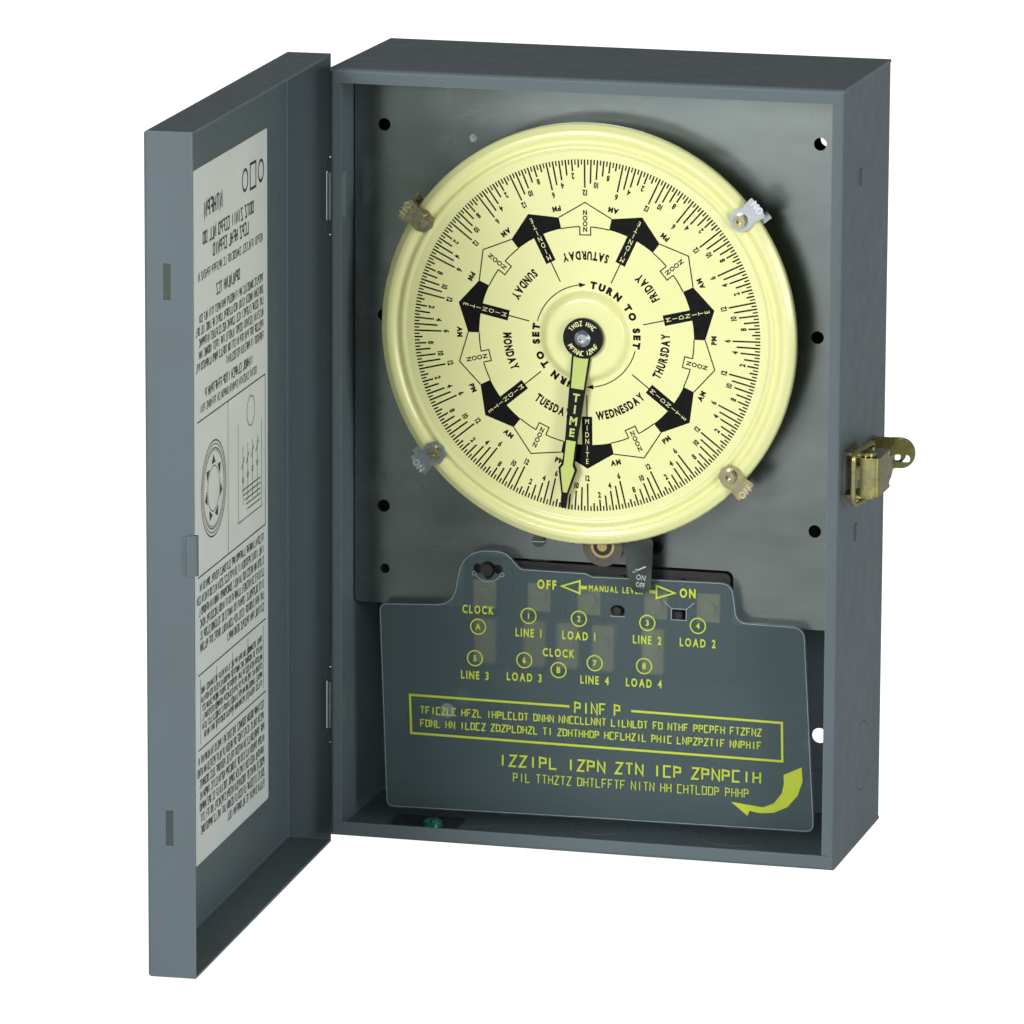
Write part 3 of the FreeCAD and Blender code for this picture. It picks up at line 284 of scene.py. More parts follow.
dress(ENAMEL, "case_wrap", "case_top_cap", "case_bottom_cap", "door_panel", "door_keeper")
dress(PLATED, "mechanism_plate", "motor_bracket", "motor_housing", "carriage_rails", "ground_plate")
dress(HINGE_ZINC, "case_hinge_upper", "case_hinge_lower")
dress(YELLOW_ZINC, "latch_base", "latch_rivets", "latch_lever", "latch_lever_pin", "latch_bail")
dress(BLACK, "insulator_posts")
dress(STEEL, "dial_arbor", "gear_shaft", "motor_posts", "hub_screw",
      "tripper_2_on_plate", "tripper_4_on_plate")
dress(GOLD, "tripper_1_off_plate", "tripper_1_off_screw", "tripper_2_on_screw",
      "tripper_3_off_plate", "tripper_3_off_screw", "tripper_4_on_screw")
dress(BRASS, "dial_hub", "dial_gear", "drive_pinion", "day_gear", "motor_pinion", "gear_bushing",
      "motor_gearcase", "cam_shaft", "cam_bushing", "moving_contacts", "fixed_contacts")
dress(TERMINAL_BRASS, "terminal_plates", "terminal_screws")
dress(DIAL_PAINT, "dial_plate")
dress(GLOSS_BLACK, "hub_disc", "time_pointer")
dress(BLACK, "terminal_block", "cam_crank", "cam_clip")
dress(SMOKE, "trip_cam")
# the plate screws take dark steel so that they read as dark holes: their darkness is painted shade
dress(DARK_STEEL, "manual_lever", "plate_screws", "detent_spring",
      "hinge_pin_upper", "hinge_pin_lower")
dress(BROWN, "contact_carriage")
dress(SMOKY, "insulator_sheet")
dress(PAPER, "door_label")
dress(GREEN, "ground_screw")


# ---------------------------------------------------------------- print

# lengths in millimetres unless they are shares
PRINT_LIFT = 0.01
RING_SIDES, ARC_STEP, MITRE_LIMIT = 32, 4, 0.4
PEN, PITCH, WORD_GAP, LETTER_SHARE, ROW_FILL = 0.17, 0.78, 0.75, 0.66, 0.885
# each letter-like shape is a few strokes in a box one unit wide and tall
FORMS = (
    (((1, 1), (0, 1), (0, 0), (1, 0)),),
    (((0, 0), (0, 1)), ((1, 0), (1, 1)), ((0, 0.5), (1, 0.5))),
    (((0, 0), (0, 1), (1, 0), (1, 1)),),
    (((0, 1), (0, 0), (1, 0)),),
    (((0, 1), (1, 1)), ((0.5, 0), (0.5, 1))),
    (((0, 0), (0, 1), (1, 1)), ((0, 0.5), (0.8, 0.5))),
    (((0, 0), (0, 1), (1, 0.9), (1, 0.1), (0, 0)),),
    (((0, 1), (1, 1), (0, 0), (1, 0)),),
    (((0.5, 0), (0.5, 1)),),
    (((0, 0), (0, 1), (0.9, 0.9), (0.9, 0.5), (0, 0.5)),),
)


def polar(radius, angle, centre=(0, 0)):
    """Point at an angle in degrees, clockwise from straight up."""
    turn = math.radians(angle)
    return centre[0] + radius * math.sin(turn), centre[1] + radius * math.cos(turn)


def turned(at, x, y, degrees):
    """The point x, y turned anticlockwise about zero, then moved by at."""
    cosine, sine = math.cos(math.radians(degrees)), math.sin(math.radians(degrees))
    return at[0] + x * cosine - y * sine, at[1] + x * sine + y * cosine


def mesh_object(name, points, faces, material):
    """A new object in the scene, of one mesh and one material."""
    mesh = bpy.data.meshes.new(name)
    mesh.from_pydata(points, [], faces)
    mesh.validate()
    mesh.materials.append(material)
    made = bpy.data.objects.new(name, mesh)
    scene.collection.objects.link(made)
    return made


class Print:
    """Thin printed shapes gathered in one mesh, drawn in millimetres on a flat face."""
    glyphs = {}

    def __init__(self):
        self.points, self.faces = [], []

    def polygon(self, *loops):
        """A filled outline; further loops are holes in it."""
        start = len(self.points)
        flat = [Vector((u, v, 0)) for loop in loops for u, v in loop]
        self.points += [(p.x, p.y) for p in flat]
        shapes = [[Vector((u, v, 0)) for u, v in loop] for loop in loops]
        for a, b, c in tessellate_polygon(shapes):
            normal = (flat[b] - flat[a]).cross(flat[c] - flat[a]).z
            order = (a, b, c) if normal > 0 else (a, c, b)
            self.faces.append([start + i for i in order])

    def stroke(self, path, width, closed=False):
        """A line of even width with mitred corners."""
        points = [Vector(p) for p in path]
        count = len(points)
        left, right = [], []
        for i, here in enumerate(points):
            steps = []
            if i or closed:
                steps.append((here - points[i - 1]).normalized())
            if i + 1 < count or closed:
                steps.append((points[(i + 1) % count] - here).normalized())
            along = sum(steps, Vector((0, 0))).normalized()
            side = Vector((-along.y, along.x))
            reach = width / 2 / max(MITRE_LIMIT, side.dot(Vector((-steps[0].y, steps[0].x))))
            left.append(here + side * reach)
            right.append(here - side * reach)
        base = len(self.points)
        self.points += [tuple(p) for p in left + right]
        for i in range(count if closed else count - 1):
            j = (i + 1) % count
            self.faces.append([base + count + i, base + count + j, base + j, base + i])

    def arc(self, radius, start, end, width, centre=(0, 0)):
        steps = max(3, int(abs(end - start) / ARC_STEP))
        turn = end - start
        path = [polar(radius, start + turn * i / steps, centre) for i in range(steps + 1)]
        self.stroke(path, width)

    def ring(self, centre, radius, width):
        path = [polar(radius, 360 * i / RING_SIDES, centre) for i in range(RING_SIDES)]
        self.stroke(path, width, closed=True)

    @classmethod
    def glyph(cls, char, weight):
        """Points and faces of a character one unit tall, and its width."""
        key = (char, weight)
        if key not in cls.glyphs:
            curve = bpy.data.curves.new("glyph", "FONT")
            curve.body, curve.size, curve.resolution_u, curve.offset = char, 1.0, 3, weight
            shape = bpy.data.objects.new("glyph", curve)
            scene.collection.objects.link(shape)
            view = bpy.context.evaluated_depsgraph_get()
            mesh = bpy.data.meshes.new_from_object(shape.evaluated_get(view))
            capital = 0.682 + 2 * weight
            points = [(p.co.x / capital, (p.co.y + weight) / capital) for p in mesh.vertices]
            faces = [tuple(f.vertices) for f in mesh.polygons]
            low = min(x for x, _ in points)
            wide = max(x for x, _ in points) - low
            cls.glyphs[key] = ([(x - low - wide / 2, y) for x, y in points], faces, wide)
            bpy.data.objects.remove(shape)
            bpy.data.curves.remove(curve)
            bpy.data.meshes.remove(mesh)
        return cls.glyphs[key]

    def letter(self, char, at, height, squeeze=1.0, turn=0.0, weight=0.0):
        """One character whose baseline's middle is at a point, turned anticlockwise in degrees."""
        points, faces, _ = self.glyph(char, weight)
        base = len(self.points)
        self.points += [turned(at, x * height * squeeze, y * height, turn) for x, y in points]
        self.faces += [[base + i for i in face] for face in faces]

    def spread(self, words, height, squeeze, gap, weight):
        """(character, place of its middle) for a line centred on zero."""
        places, at = [], 0.0
        for char in words:
            wide = 0.5 if char == " " else self.glyph(char, weight)[2]
            wide *= height * squeeze
            places.append((char, at + wide / 2))
            at += wide + gap * height
        middle = (at - gap * height) / 2
        return [(char, place - middle) for char, place in places if char != " "]

    def line(self, words, at, height, squeeze=1.0, gap=0.14, weight=0.0, turn=0.0):
        """A line of text centred on a point of its baseline."""
        for char, place in self.spread(words, height, squeeze, gap, weight):
            self.letter(char, turned(at, place, 0, turn), height, squeeze, turn, weight)

    def curved(self, words, radius, angle, height, squeeze=1.0, gap=0.14, weight=0.0, outward=True):
        """Text on a circle, with the tops of the letters outward or towards the centre."""
        sign, flip = (1, 0) if outward else (-1, 180)
        for char, place in self.spread(words, height, squeeze, gap, weight):
            here = angle + sign * math.degrees(place / radius)
            self.letter(char, polar(radius, here), height, squeeze, -here + flip, weight)

    def marks(self, spot, height, seed, count, pen=PEN, pitch=PITCH):
        """Letter-like shapes in word groups that spell nothing.

        spot(along) gives a place on the row and its turn in degrees.
        """
        draw = random.Random(seed)
        room, along = draw.randint(3, 8), 0.0
        for _ in range(count):
            if room == 0:
                along += height * pitch * WORD_GAP
                room = draw.randint(2, 9)
            room -= 1
            place, turn = spot(along)
            for path in draw.choice(FORMS):
                self.stroke([turned(place, u * height * pitch * LETTER_SHARE, v * height, turn)
                             for u, v in path], height * pen)
            along += height * pitch

    def greek(self, start, end, level, height, seed, pen=PEN, pitch=PITCH):
        """A straight row of such shapes from one place to another."""
        count = int((end - start) / (height * pitch) * ROW_FILL)
        self.marks(lambda along: ((start + along, level), 0), height, seed, count, pen, pitch)

    def greek_arc(self, radius, start, end, height, seed, pen=PEN, outward=True):
        """A row of such shapes round a circle, between two angles in degrees."""
        sign, flip = (1, 0) if outward else (-1, 180)

        def spot(along):
            angle = start + sign * math.degrees(along / radius)
            return polar(radius, angle), -angle + flip

        count = int(math.radians(abs(end - start)) * radius / (height * PITCH))
        self.marks(spot, height, seed, count, pen)

    def piece(self, name, place, material, body, slot, thick=0.04):
        """The finished print; place turns (u, v) in millimetres into a point of the row frame."""
        points = [place(u, v) for u, v in self.points]
        print_object = mesh_object(name, points, self.faces, material)
        solid = print_object.modifiers.new("thickness", "SOLIDIFY")
        solid.thickness, solid.offset = thick * MM, 0
        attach(print_object, body)


def on_face(centre, y):
    """Placing function for print that faces the front of the case."""
    return lambda u, v: Vector((centre.x + u * MM, y, centre.z + v * MM))


# ---------------------------------------------------------------- dial print

# angles in degrees; radii and widths in millimetres from the dial's centre
DIAL_LEAN = -1.0
DAY_TURN = 360 / 7
DAYS = ("SUNDAY", "MONDAY", "TUESDAY", "WEDNESDAY", "THURSDAY", "FRIDAY", "SATURDAY")
FACE_DEPTH, LINE = 9.0, 0.46
TIP, SHOULDER, BELT, STEM, STEM_HALF = 54.3, 49.1, 44.5, 33.0, 2.15
NOTCH, NOTCH_HALF = 41.2, 2.25
TICK_RIM, HALF_HOUR_END = 71.7, 69.6
TICK_ENDS = (60.3, 68.4, 67.0, 65.4, 63.7, 62.0)
HALF_HOUR_PEN, HOUR_PEN = 0.56, 0.64
NUMBER_RADII = {2: 65.0, 4: 61.5, 6: 58.2, 8: 65.0, 10: 61.5, 12: 58.2}
NIGHT_LINE, NIGHT_WORD, NIGHT_PITCH = 24.2, 34.9, 2.72
NOON_WORD, NOON_PITCH = 43.4, 2.3
DAY_WORD, HALF_DAY_WORD = 34.6, 53.8
TURN_ARROW, TURN_WORDS = 20.9, 19.4


def dial_scale(art):
    """Ticks each half hour, longest at every sixth hour, and numbers at even hours."""
    hour_turn = DAY_TURN / 24
    for step in range(7 * 48):
        angle = DIAL_LEAN - step * hour_turn / 2
        inner = HALF_HOUR_END if step % 2 else TICK_ENDS[(step // 2) % 6]
        pen = HALF_HOUR_PEN if step % 2 else HOUR_PEN
        art.stroke([polar(inner, angle), polar(TICK_RIM, angle)], pen)
    for half_day in range(14):
        for hour, radius in NUMBER_RADII.items():
            # anticlockwise is later, and noon is at the top
            angle = DIAL_LEAN - (half_day * 12 + hour) * hour_turn
            art.curved(str(hour), radius + 1.25, angle, 2.45, 0.74, 0.08, 0.045, outward=False)


def dial_days(black, light):
    """Midnight arrows, noon arrows and day names."""
    quarter = DAY_TURN / 4
    edge = math.degrees(math.asin(STEM_HALF / BELT))
    inner_edge = math.degrees(math.asin(STEM_HALF / STEM))
    notch = math.degrees(math.asin(NOTCH_HALF / BELT))
    notch_in = math.degrees(math.asin(NOTCH_HALF / NOTCH))
    for day, name in enumerate(DAYS):
        noon = DIAL_LEAN + (day + 1) * -DAY_TURN
        night = noon + DAY_TURN / 2
        arrow = [polar(TIP, night), polar(SHOULDER, night + quarter)]
        arrow += [polar(BELT, night + quarter + (edge - quarter) * i / 4) for i in range(5)]
        arrow += [polar(STEM, night + inner_edge), polar(STEM, night - inner_edge)]
        arrow += [polar(BELT, night - edge + (edge - quarter) * i / 4) for i in range(5)]
        arrow += [polar(SHOULDER, night - quarter)]
        black.polygon(arrow)
        black.stroke([polar(NIGHT_LINE, night), polar(STEM, night)], LINE)
        for i, char in enumerate("MIDNITE"):
            radius = NIGHT_WORD + i * NIGHT_PITCH
            light.curved(char, radius + 1.05, night, 2.05, 0.8, outward=False)
        black.stroke([polar(SHOULDER, noon - quarter), polar(TIP, noon),
                      polar(SHOULDER, noon + quarter)], LINE)
        black.arc(BELT, noon - quarter, noon - notch, LINE)
        black.arc(BELT, noon + notch, noon + quarter, LINE)
        black.stroke([polar(BELT, noon - notch), polar(NOTCH, noon - notch_in),
                      polar(NOTCH, noon + notch_in), polar(BELT, noon + notch)], LINE)
        for i, char in enumerate("NOON"):
            radius = NOON_WORD + i * NOON_PITCH
            black.curved(char, radius + 1.0, noon, 2.1, 0.85, weight=0.035, outward=False)
        black.curved(name, DAY_WORD, noon, 3.6, 0.64, 0.13, 0.05, outward=False)
        for side, mark in ((-1, "AM"), (1, "PM")):
            # morning lies clockwise of noon because later is anticlockwise
            edge_of_day = noon - side * quarter
            black.curved(mark, HALF_DAY_WORD, edge_of_day, 2.25, 0.92, 0.08, 0.06, outward=False)


def dial_turn_marks(art):
    """Two curved arrows and the words between them, round the raised centre."""
    for half in (0, 180):
        turn = half + DIAL_LEAN
        art.arc(TURN_ARROW, turn - 75, turn - 6, 0.42)
        tip, back = polar(TURN_ARROW, turn + 0.5), turn - 7.5
        art.polygon([tip, polar(19.9, back), polar(21.9, back)])
        art.curved("TURN TO SET", TURN_WORDS, turn + 53.8, 3.1, 1.0, 0.2, 0.075)


black_art, light_art = Print(), Print()
dial_scale(black_art)
dial_days(black_art, light_art)
dial_turn_marks(black_art)
black_art.piece("dial_print", on_face(DIAL, depth(FACE_DEPTH - 0.02)), INK, "dial", "dial_paint")
light_art.piece("dial_print_reversed", on_face(DIAL, depth(FACE_DEPTH - 0.06)), DIAL_PAINT,
                "dial", "dial_paint")


# ---------------------------------------------------------------- pointer and hub print

POINTER_LEAN = 6.5
lean = math.radians(POINTER_LEAN)
along = Vector((-math.sin(lean), -math.cos(lean)))
across = Vector((along.y, -along.x))


def on_pointer(u, v):
    """u across the pointer, v from the hub towards its tip, both in millimetres."""
    spot = across * u + along * v
    return Vector((HUB.x + spot.x * MM, pointer_low.y - PRINT_LIFT * MM, HUB.z + spot.y * MM))


lime = Print()
lime.polygon([(-3.05, 8.0), (3.05, 8.0), (2.6, 21.0), (-2.6, 21.0)])
lime.polygon([(-1.95, 42.5), (1.95, 42.5), (1.85, 52.6), (2.9, 54.4), (0.85, 64.0),
              (-0.85, 64.0), (-2.9, 54.4), (-1.85, 52.6)])
for number, char in enumerate("TIME"):
    lime.letter(char, (0, 24.8 + number * 4.8 + 1.7), 3.5, 0.95, 180, 0.035)
lime.piece("pointer_print", on_pointer, POINTER_LIME, "case", "pointer_paint")

hub_marks = Print()
hub_marks.greek_arc(5.2, -58, 60, 1.75, 4, 0.2)
hub_marks.greek_arc(7.0, 242, 118, 1.75, 9, 0.2, outward=False)
hub_marks.piece("hub_marks", on_face(HUB, hub_low.y - PRINT_LIFT * MM), DIAL_PAINT,
                "case", "gloss_black")


# ---------------------------------------------------------------- sheet print

# terminal mark: its place, its words, and how far above or below it their baseline lies
ABOVE, BELOW = 5.4, -8.9
TERMINALS = {
    "A": (-49.3, -72.7, "CLOCK", ABOVE), "1": (-28.0, -66.8, "LINE 1", BELOW),
    "2": (-6.8, -66.7, "LOAD 1", BELOW), "3": (21.9, -66.6, "LINE 2", BELOW),
    "4": (43.0, -66.5, "LOAD 2", BELOW), "5": (-50.6, -86.0, "LINE 3", BELOW),
    "6": (-29.7, -85.5, "LOAD 3", BELOW), "B": (-15.2, -88.7, "CLOCK", ABOVE),
    "7": (0.0, -84.8, "LINE 4", BELOW), "8": (20.7, -84.7, "LOAD 4", BELOW),
}


def lever_arrow(art, x, side):
    """Hollow arrowhead with a short tail; side is -1 for left."""
    art.stroke([(x + side * 7.6, -53.5), (x, -50.9), (x, -56.1)], 0.75, closed=True)
    near, far = x - side * 0.3, x - side * 3.0
    art.polygon([(near, -52.8), (far, -52.8), (far, -54.2), (near, -54.2)])


sheet_art = Print()
for mark, (x, z, words, drop) in TERMINALS.items():
    sheet_art.ring((x, z), 3.15, 0.5)
    sheet_art.letter(mark, (x, z - 1.25), 2.5, 0.9, 0, 0.03)
    sheet_art.line(words, (x, z + drop), 3.5, 0.68, 0.2, 0.03)
sheet_art.line("OFF", (-20.4, -55.2), 3.9, 0.75, 0.2, 0.04)
sheet_art.line("ON", (38.6, -55.2), 3.9, 0.75, 0.2, 0.04)
lever_arrow(sheet_art, -6.5, -1)
lever_arrow(sheet_art, 25.6, 1)
sheet_art.line("MANUAL LEVER", (8.6, -54.9), 2.6, 0.68, 0.2, 0.03)
sheet_art.stroke([(-10.5, -103.6), (-78.2, -103.2), (-77.6, -119.3), (78.8, -120.6),
                  (78.4, -104.6), (15.5, -103.8)], 0.95)
sheet_art.greek(-8.2, 14.5, -106.2, 4.5, 3, 0.15)
sheet_art.greek(-73.6, 73.5, -110.7, 2.9, 5)
sheet_art.greek(-73.6, 73.5, -116.2, 2.9, 8)
sheet_art.greek(-40.0, 73.0, -130.4, 4.5, 11, 0.17, 0.95)
sheet_art.greek(-34.0, 68.0, -136.8, 3.5, 14, 0.12, 0.74)


def swing_arrow(art):
    """Curved arrow that starts wide at the upper right and points left."""
    outer = [(86.9, -122.6), (87.3, -128.5), (85.4, -134.5), (81.2, -139.6), (75.4, -142.4),
             (69.5, -142.9), (65.5, -142.2)]
    head = [(64.6, -144.4), (57.6, -139.0), (67.2, -140.0)]
    inner = [(71.0, -140.4), (75.5, -138.4), (78.8, -134.0), (79.6, -129.8), (79.4, -126.2)]
    art.polygon(outer + head + inner)


swing_arrow(sheet_art)
sheet_art.piece("sheet_print", on_face(ORIGIN, sheet_low.y - PRINT_LIFT * MM), LIME_INK,
                "insulator", "smoky_sheet")


BEND_STEPS = 6


def bent(corners):
    """The outline through these (x, z, bend radius) corners, with each bend as a short arc."""
    points = []
    for i, (x, z, radius) in enumerate(corners):
        if not radius:
            points.append((x, z))
            continue
        here = Vector((x, z))
        back = (Vector(corners[i - 1][:2]) - here).normalized()
        ahead = (Vector(corners[(i + 1) % len(corners)][:2]) - here).normalized()
        half = back.angle(ahead) / 2
        reach = radius / math.tan(half)
        for step in range(BEND_STEPS + 1):
            s = step / BEND_STEPS
            edge = here + back * reach * (1 - s) ** 2 + ahead * reach * s ** 2
            points.append((edge.x, edge.y))
    return points


# The slits are real cuts in the sheet; drawing them and the sheet's outline as light grey lines
# paints a highlight on the cut edges.
SLIT_PEN, SLIT_LIFT = 0.3, 0.008
slit_highlights = Print()
key_x, key_z = -45.2, -48.2
slit_highlights.arc(6.4, 128, 232, SLIT_PEN, (key_x, key_z + 1.0))
for side in (-1, 1):
    slit_highlights.ring((key_x + side * 5.9, key_z - 2.2), 0.8, SLIT_PEN)
    slit_highlights.stroke([(35 + side * 3.1, -60.0), (35 + side * 6.4, -57.1)], SLIT_PEN)
slit_highlights.stroke([(31.9, -64.6), (31.9, -60.0), (38.1, -60.0), (38.1, -64.6)], 0.32, closed=True)
slit_highlights.stroke([(6.3, -64.7), (12.5, -64.7)], SLIT_PEN)
SHEET_EDGE = [(-91.0, -65.7, 3), (-59.8, -64.3, 9), (-55.9, -40.7, 13), (-38.0, -40.9, 8),
              (-31.6, -47.7, 4), (-4.2, -47.8, 1), (-1.4, -49.0, 1), (56.7, -48.3, 5),
              (59.0, -64.3, 5), (86.9, -64.8, 5), (92.1, -149.1, 3.5), (0.0, -149.7, 0),
              (-87.8, -150.8, 3)]
slit_highlights.stroke(bent(SHEET_EDGE), 0.26, closed=True)
slit_highlights.piece("sheet_slit_highlights", on_face(ORIGIN, sheet_low.y - SLIT_LIFT * MM), SLIT_HIGHLIGHT,
            "insulator", "smoky_sheet")


# ---------------------------------------------------------------- door label print

DOOR_OPEN = 87.5
# the wrap's box takes in bumps on its side walls; the pivot stands off the wall itself
WALL_BUMP, PIVOT_OUT, PIVOT_IN = 0.8, 1.8, 7.2
PIVOT = Vector((case_low.x + WALL_BUMP * MM - PIVOT_OUT * MM, CASE_FRONT + PIVOT_IN * MM, 0))
LABEL_FACE = -17.66
LABEL_NEAR, LABEL_FAR = 38.0, 143.5


def door_point(x, y, z):
    """Where the open door has a point given in millimetres from the pivot of the closed door."""
    closed = Vector((x * MM, y * MM, z * MM))
    return PIVOT + Matrix.Rotation(-math.radians(DOOR_OPEN), 3, "Z") @ closed


def on_door(u, v):
    """u from the hinge line to the free edge on the label's face, v up, both in millimetres."""
    return door_point(u, LABEL_FACE, v)


def text_block(art, left, right, top, rows, height, pitch, seed):
    """A paragraph of letter-like rows whose last row is shorter."""
    for row in range(rows):
        end = right if row < rows - 1 else left + (right - left) * 0.6
        art.greek(left, end, top - height - row * pitch, height, seed + row, 0.2, 0.7)


def label_art():
    """Generic stand-in for an instruction label: titles, rows and ruled sections."""
    art = Print()
    near, far = LABEL_NEAR, LABEL_FAR
    middle = (near + far) / 2
    art.ring((near + 6, 122), 4.2, 1.2)
    art.stroke([(near + 14, 127), (near + 23, 127), (near + 23, 117), (near + 14, 117)], 1.1,
               closed=True)
    art.ring((near + 31, 122), 4.2, 1.2)
    art.greek(middle + 14, far - 4, 117, 6.0, 20, 0.2)
    art.greek(near + 18, far - 10, 107, 4.6, 21, 0.2)
    art.greek(near + 26, far - 22, 100, 4.6, 22, 0.2)
    art.greek(near + 4, far, 93.5, 3.0, 23)
    art.greek(near + 40, far - 24, 84, 4.0, 24, 0.2)
    text_block(art, near + 3, far, 80, 6, 2.9, 4.7, 30)
    art.greek(near + 20, far - 8, 46.5, 3.4, 44, 0.2)
    art.greek(near + 14, far - 2, 41.5, 2.8, 45)
    for level in (38.5, -23.0, -62.0, -92.0):
        art.stroke([(near, level), (far, level)], 0.55)
    art.stroke([(near, 38.5), (near, -23.0)], 0.55)
    art.stroke([(middle + 6, 38.5), (middle + 6, -23.0)], 0.4)
    return art


def wiring_diagram(art, left, top):
    """A motor, four switches and the lines between them."""
    art.ring((left + 20, top - 8), 6.0, 0.45)
    for i in range(4):
        x = left + 10 + i * 7.5
        art.stroke([(x, top - 20), (x, top - 44)], 0.45)
        art.stroke([(x - 2.2, top - 22 - i), (x + 2.2, top - 26 - i)], 0.7)
        art.ring((x, top - 31 - i), 1.1, 0.4)
    for i in range(5):
        level = top - 38 - i * 2.2
        art.stroke([(left + 5, level), (left + 34 - i * 2, level)], 0.5)
    art.stroke([(left + 3, top - 14), (left + 3, top - 50), (left + 40, top - 50),
                (left + 40, top - 10)], 0.4)


def small_dial(art, centre):
    """The dial in small: rings, seven arrows and ticks."""
    for radius, width in ((19.0, 0.6), (17.5, 0.4), (16.0, 0.4), (9.0, 0.4)):
        art.ring(centre, radius, width)
    for i in range(7):
        angle = i * DAY_TURN
        art.polygon([polar(13.5, angle, centre), polar(10.5, angle + 16, centre),
                     polar(10.0, angle, centre), polar(10.5, angle - 16, centre)])
    for i in range(84):
        angle = i * 30 / 7
        art.stroke([polar(14.6, angle, centre), polar(15.8, angle, centre)], 0.25)


def table(art, left, right, top, bottom):
    """Four columns ruled by five lines, with six rows of letter-like shapes."""
    for i in range(5):
        x = left + (right - left) * i / 4
        art.stroke([(x, top), (x, bottom)], 0.4)
    for row in range(6):
        level = top - 4 - row * (top - bottom - 4) / 6
        art.greek(left + 2, right - 2, level - 2, 2.2, 60 + row, 0.24)


label = label_art()
wiring_diagram(label, 41, 36)
small_dial(label, (119, 8))
text_block(label, 41, 143, -26, 7, 2.9, 4.8, 50)
table(label, 42, 140, -64, -90)
text_block(label, 41, 143, -95, 8, 2.9, 4.7, 70)
label.piece("door_label_print", on_door, GREY_INK, "door", "label_paper")


HINGE_HIGH = 105.5
STRIP_ACROSS, STRIP_DEEP, STRIP_HALF_TALL = (-0.45, -0.1), (-3.7, -1.75), 10
STRIP_SIDES = ((0, 1, 3, 2), (4, 6, 7, 5), (0, 4, 5, 1), (2, 3, 7, 6), (0, 2, 6, 4), (1, 5, 7, 3))


def hinge_back(name, high):
    """Strip that closes the slot in the door's hinge flange, clear of the hook's path."""
    levels = (high - STRIP_HALF_TALL, high + STRIP_HALF_TALL)
    corners = [door_point(x, y, z) for x in STRIP_ACROSS for y in STRIP_DEEP for z in levels]
    piece = mesh_object(name, corners, STRIP_SIDES, ENAMEL)
    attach(piece, "door")


hinge_back("hinge_back_upper", HINGE_HIGH)
hinge_back("hinge_back_lower", -HINGE_HIGH)


# ---------------------------------------------------------------- tripper marks

TRIPPERS = {"1_off": (-57.2, "upper_left"), "2_on": (51.6, "upper_right"),
            "3_off": (131.8, "lower_right"), "4_on": (-129.2, "lower_left")}
TRIPPER_FACE = 7.25
MARK_RADIUS, MARK_TALL, MARK_THICK = 91.0, 2.9, 0.24
for label_name, (angle, corner) in TRIPPERS.items():
    kind = label_name[2:].upper()
    marks = Print()
    marks.curved(kind, MARK_RADIUS, angle, MARK_TALL, 0.85, 0.16, 0.02, outward=False)
    gold = kind == "OFF"
    # the raised letters are lighter than the tripper's plating: a painted highlight
    finish, plating = (HIGHLIT_RAISED_GOLD, "gold_plate") if gold else (HIGHLIT_RAISED_STEEL, "bright_steel")
    marks.piece(f"tripper_{label_name}_mark", on_face(DIAL, depth(TRIPPER_FACE)), finish,
                f"tripper_{corner}", plating, MARK_THICK)


# ---------------------------------------------------------------- switch details

cam_low, cam_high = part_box("trip_cam")
CAM = (cam_low + cam_high) / 2
WASHER_LIFT, LEVER_FACE = 0.03, 17.5
washer = Print()
washer.ring((0, 0), 4.4, 1.0)
washer.piece("cam_washer", on_face(CAM, cam_low.y - WASHER_LIFT * MM), BRASS,
             "switch", "brass", 0.1)
# the lever's raised arrow and words are lighter than the lever: a painted highlight
lever_marks = Print()
lever_marks.stroke([(17.2, -44.4), (22.6, -41.9)], 0.5)
lever_marks.polygon([(17.0, -44.9), (18.6, -42.9), (19.0, -44.1)])
lever_marks.line("ON", (20.4, -47.6), 2.1, 0.8, 0.2, 0.0, -8)
lever_marks.line("OFF", (20.2, -50.6), 1.9, 0.75, 0.16, 0.0, -8)
lever_marks.piece("lever_marks", on_face(ORIGIN, depth(LEVER_FACE)), HIGHLIT_RAISED_STEEL,
                  "switch", "bright_steel", 0.3)


# ---------------------------------------------------------------- floor, light and camera

# lengths in metres, angles in degrees
FLOOR_REACH, FLOOR_GAP, FLOOR_GREY = 9.0, 0.0005, 0.7
GLOW_SEEN, FLOOR_GLOW, WORLD_GLOW = 0.9, 0.14, 0.18
CAMERA_PLACE = (0.67735, -2.75449, 0.55977)
CAMERA_YAW, CAMERA_PITCH, CAMERA_ROLL = 14.844, 11.852, 0.302
SENSOR_MM, LENS_MM, CLIP_NEAR, CLIP_FAR = 36, 245.48, 0.1, 60


def seen(tree, extra, base):
    """A strength: base for light that falls on the object, extra more for what the camera sees.

    Behind a see-through surface the camera sees only the base.
    """
    path = tree.nodes.new("ShaderNodeLightPath")
    clear, direct, strength = (tree.nodes.new("ShaderNodeMath") for _ in range(3))
    clear.operation, direct.operation, strength.operation = "LESS_THAN", "MULTIPLY", "MULTIPLY_ADD"
    tree.links.new(path.outputs["Transparent Depth"], clear.inputs[0])
    clear.inputs[1].default_value = 0.5
    tree.links.new(path.outputs["Is Camera Ray"], direct.inputs[0])
    tree.links.new(clear.outputs["Value"], direct.inputs[1])
    tree.links.new(direct.outputs["Value"], strength.inputs[0])
    strength.inputs[1].default_value = extra
    strength.inputs[2].default_value = base
    return strength.outputs["Value"]


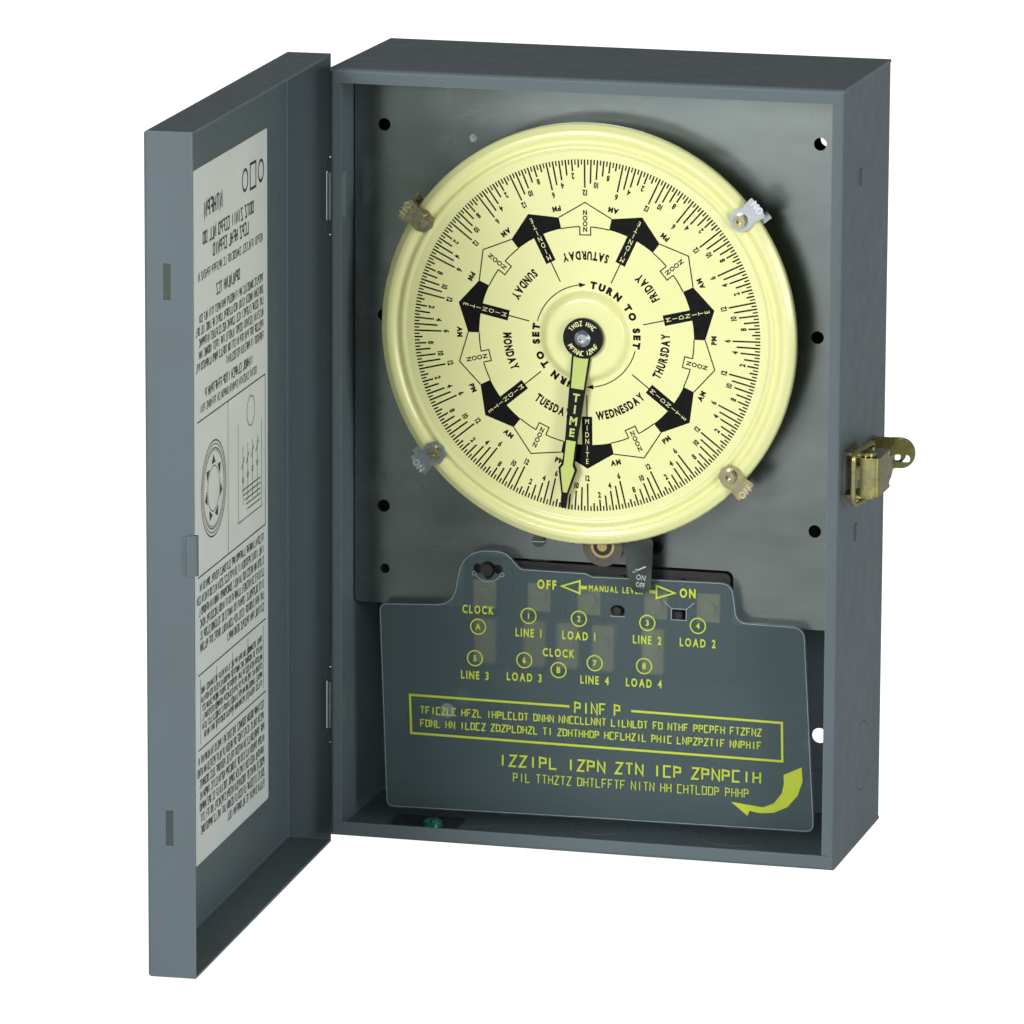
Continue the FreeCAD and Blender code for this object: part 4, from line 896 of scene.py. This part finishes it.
def floor():
    """A wide pale plane just under the object."""
    level = cad_box[0].z - FLOOR_GAP
    ends = ((-1, -1), (1, -1), (1, 1), (-1, 1))
    outline = [(x * FLOOR_REACH, y * FLOOR_REACH, level) for x, y in ends]
    surface = Surface("pale_floor", (FLOOR_GREY, FLOOR_GREY, FLOOR_GREY), 0.9)
    surface.tint(surface.noise(300), (0.68, 0.68, 0.68), 0.5)
    surface.set("Emission Color", (1, 1, 1, 1))
    glow = seen(surface.tree, GLOW_SEEN, FLOOR_GLOW)
    surface.link(glow, surface.shader.inputs["Emission Strength"])
    plane = mesh_object("floor", outline, [range(len(outline))], surface.material)


def area_light(name, at, size, power):
    """A white rectangle of light turned towards the object's middle."""
    light = bpy.data.lights.new(name, "AREA")
    light.shape, light.size, light.size_y = "RECTANGLE", size[0], size[1]
    light.energy = power
    lamp = bpy.data.objects.new(name, light)
    scene.collection.objects.link(lamp)
    lamp.location = at
    lamp.rotation_euler = (ORIGIN - Vector(at)).to_track_quat("-Z", "Y").to_euler()


def studio():
    """White surroundings, a key light at the front left and a fill at the right."""
    world = bpy.data.worlds.new("studio")
    world.use_nodes = True
    tree = world.node_tree
    background = tree.nodes["Background"]
    background.inputs["Color"].default_value = (1, 1, 1, 1)
    tree.links.new(seen(tree, GLOW_SEEN, WORLD_GLOW), background.inputs["Strength"])
    scene.world = world
    area_light("key", (-0.8, -2.9, 0.8), (0.9, 0.9), 48)
    area_light("right_fill", (2.4, -1.7, 0.5), (0.8, 1.2), 27)
    scene.view_settings.view_transform = "Standard"


def camera():
    """Long lens from the right and above, as in a catalogue picture."""
    yaw, pitch, roll = (math.radians(a) for a in (CAMERA_YAW, CAMERA_PITCH, CAMERA_ROLL))
    flat = math.cos(pitch)
    ahead = Vector((-math.sin(yaw) * flat, math.cos(yaw) * flat, -math.sin(pitch)))
    right = Vector((math.cos(yaw), math.sin(yaw), 0))
    up = right.cross(ahead)
    side = right * math.cos(roll) + up * math.sin(roll)
    top = up * math.cos(roll) - right * math.sin(roll)
    eye = bpy.data.cameras.new("camera")
    eye.sensor_width, eye.lens = SENSOR_MM, LENS_MM
    eye.clip_start, eye.clip_end = CLIP_NEAR, CLIP_FAR
    view = bpy.data.objects.new("camera", eye)
    scene.collection.objects.link(view)
    turn = Matrix((side, top, -ahead)).transposed().to_4x4()
    view.matrix_world = Matrix.Translation(CAMERA_PLACE) @ turn
    scene.camera = view


floor()
studio()
camera()
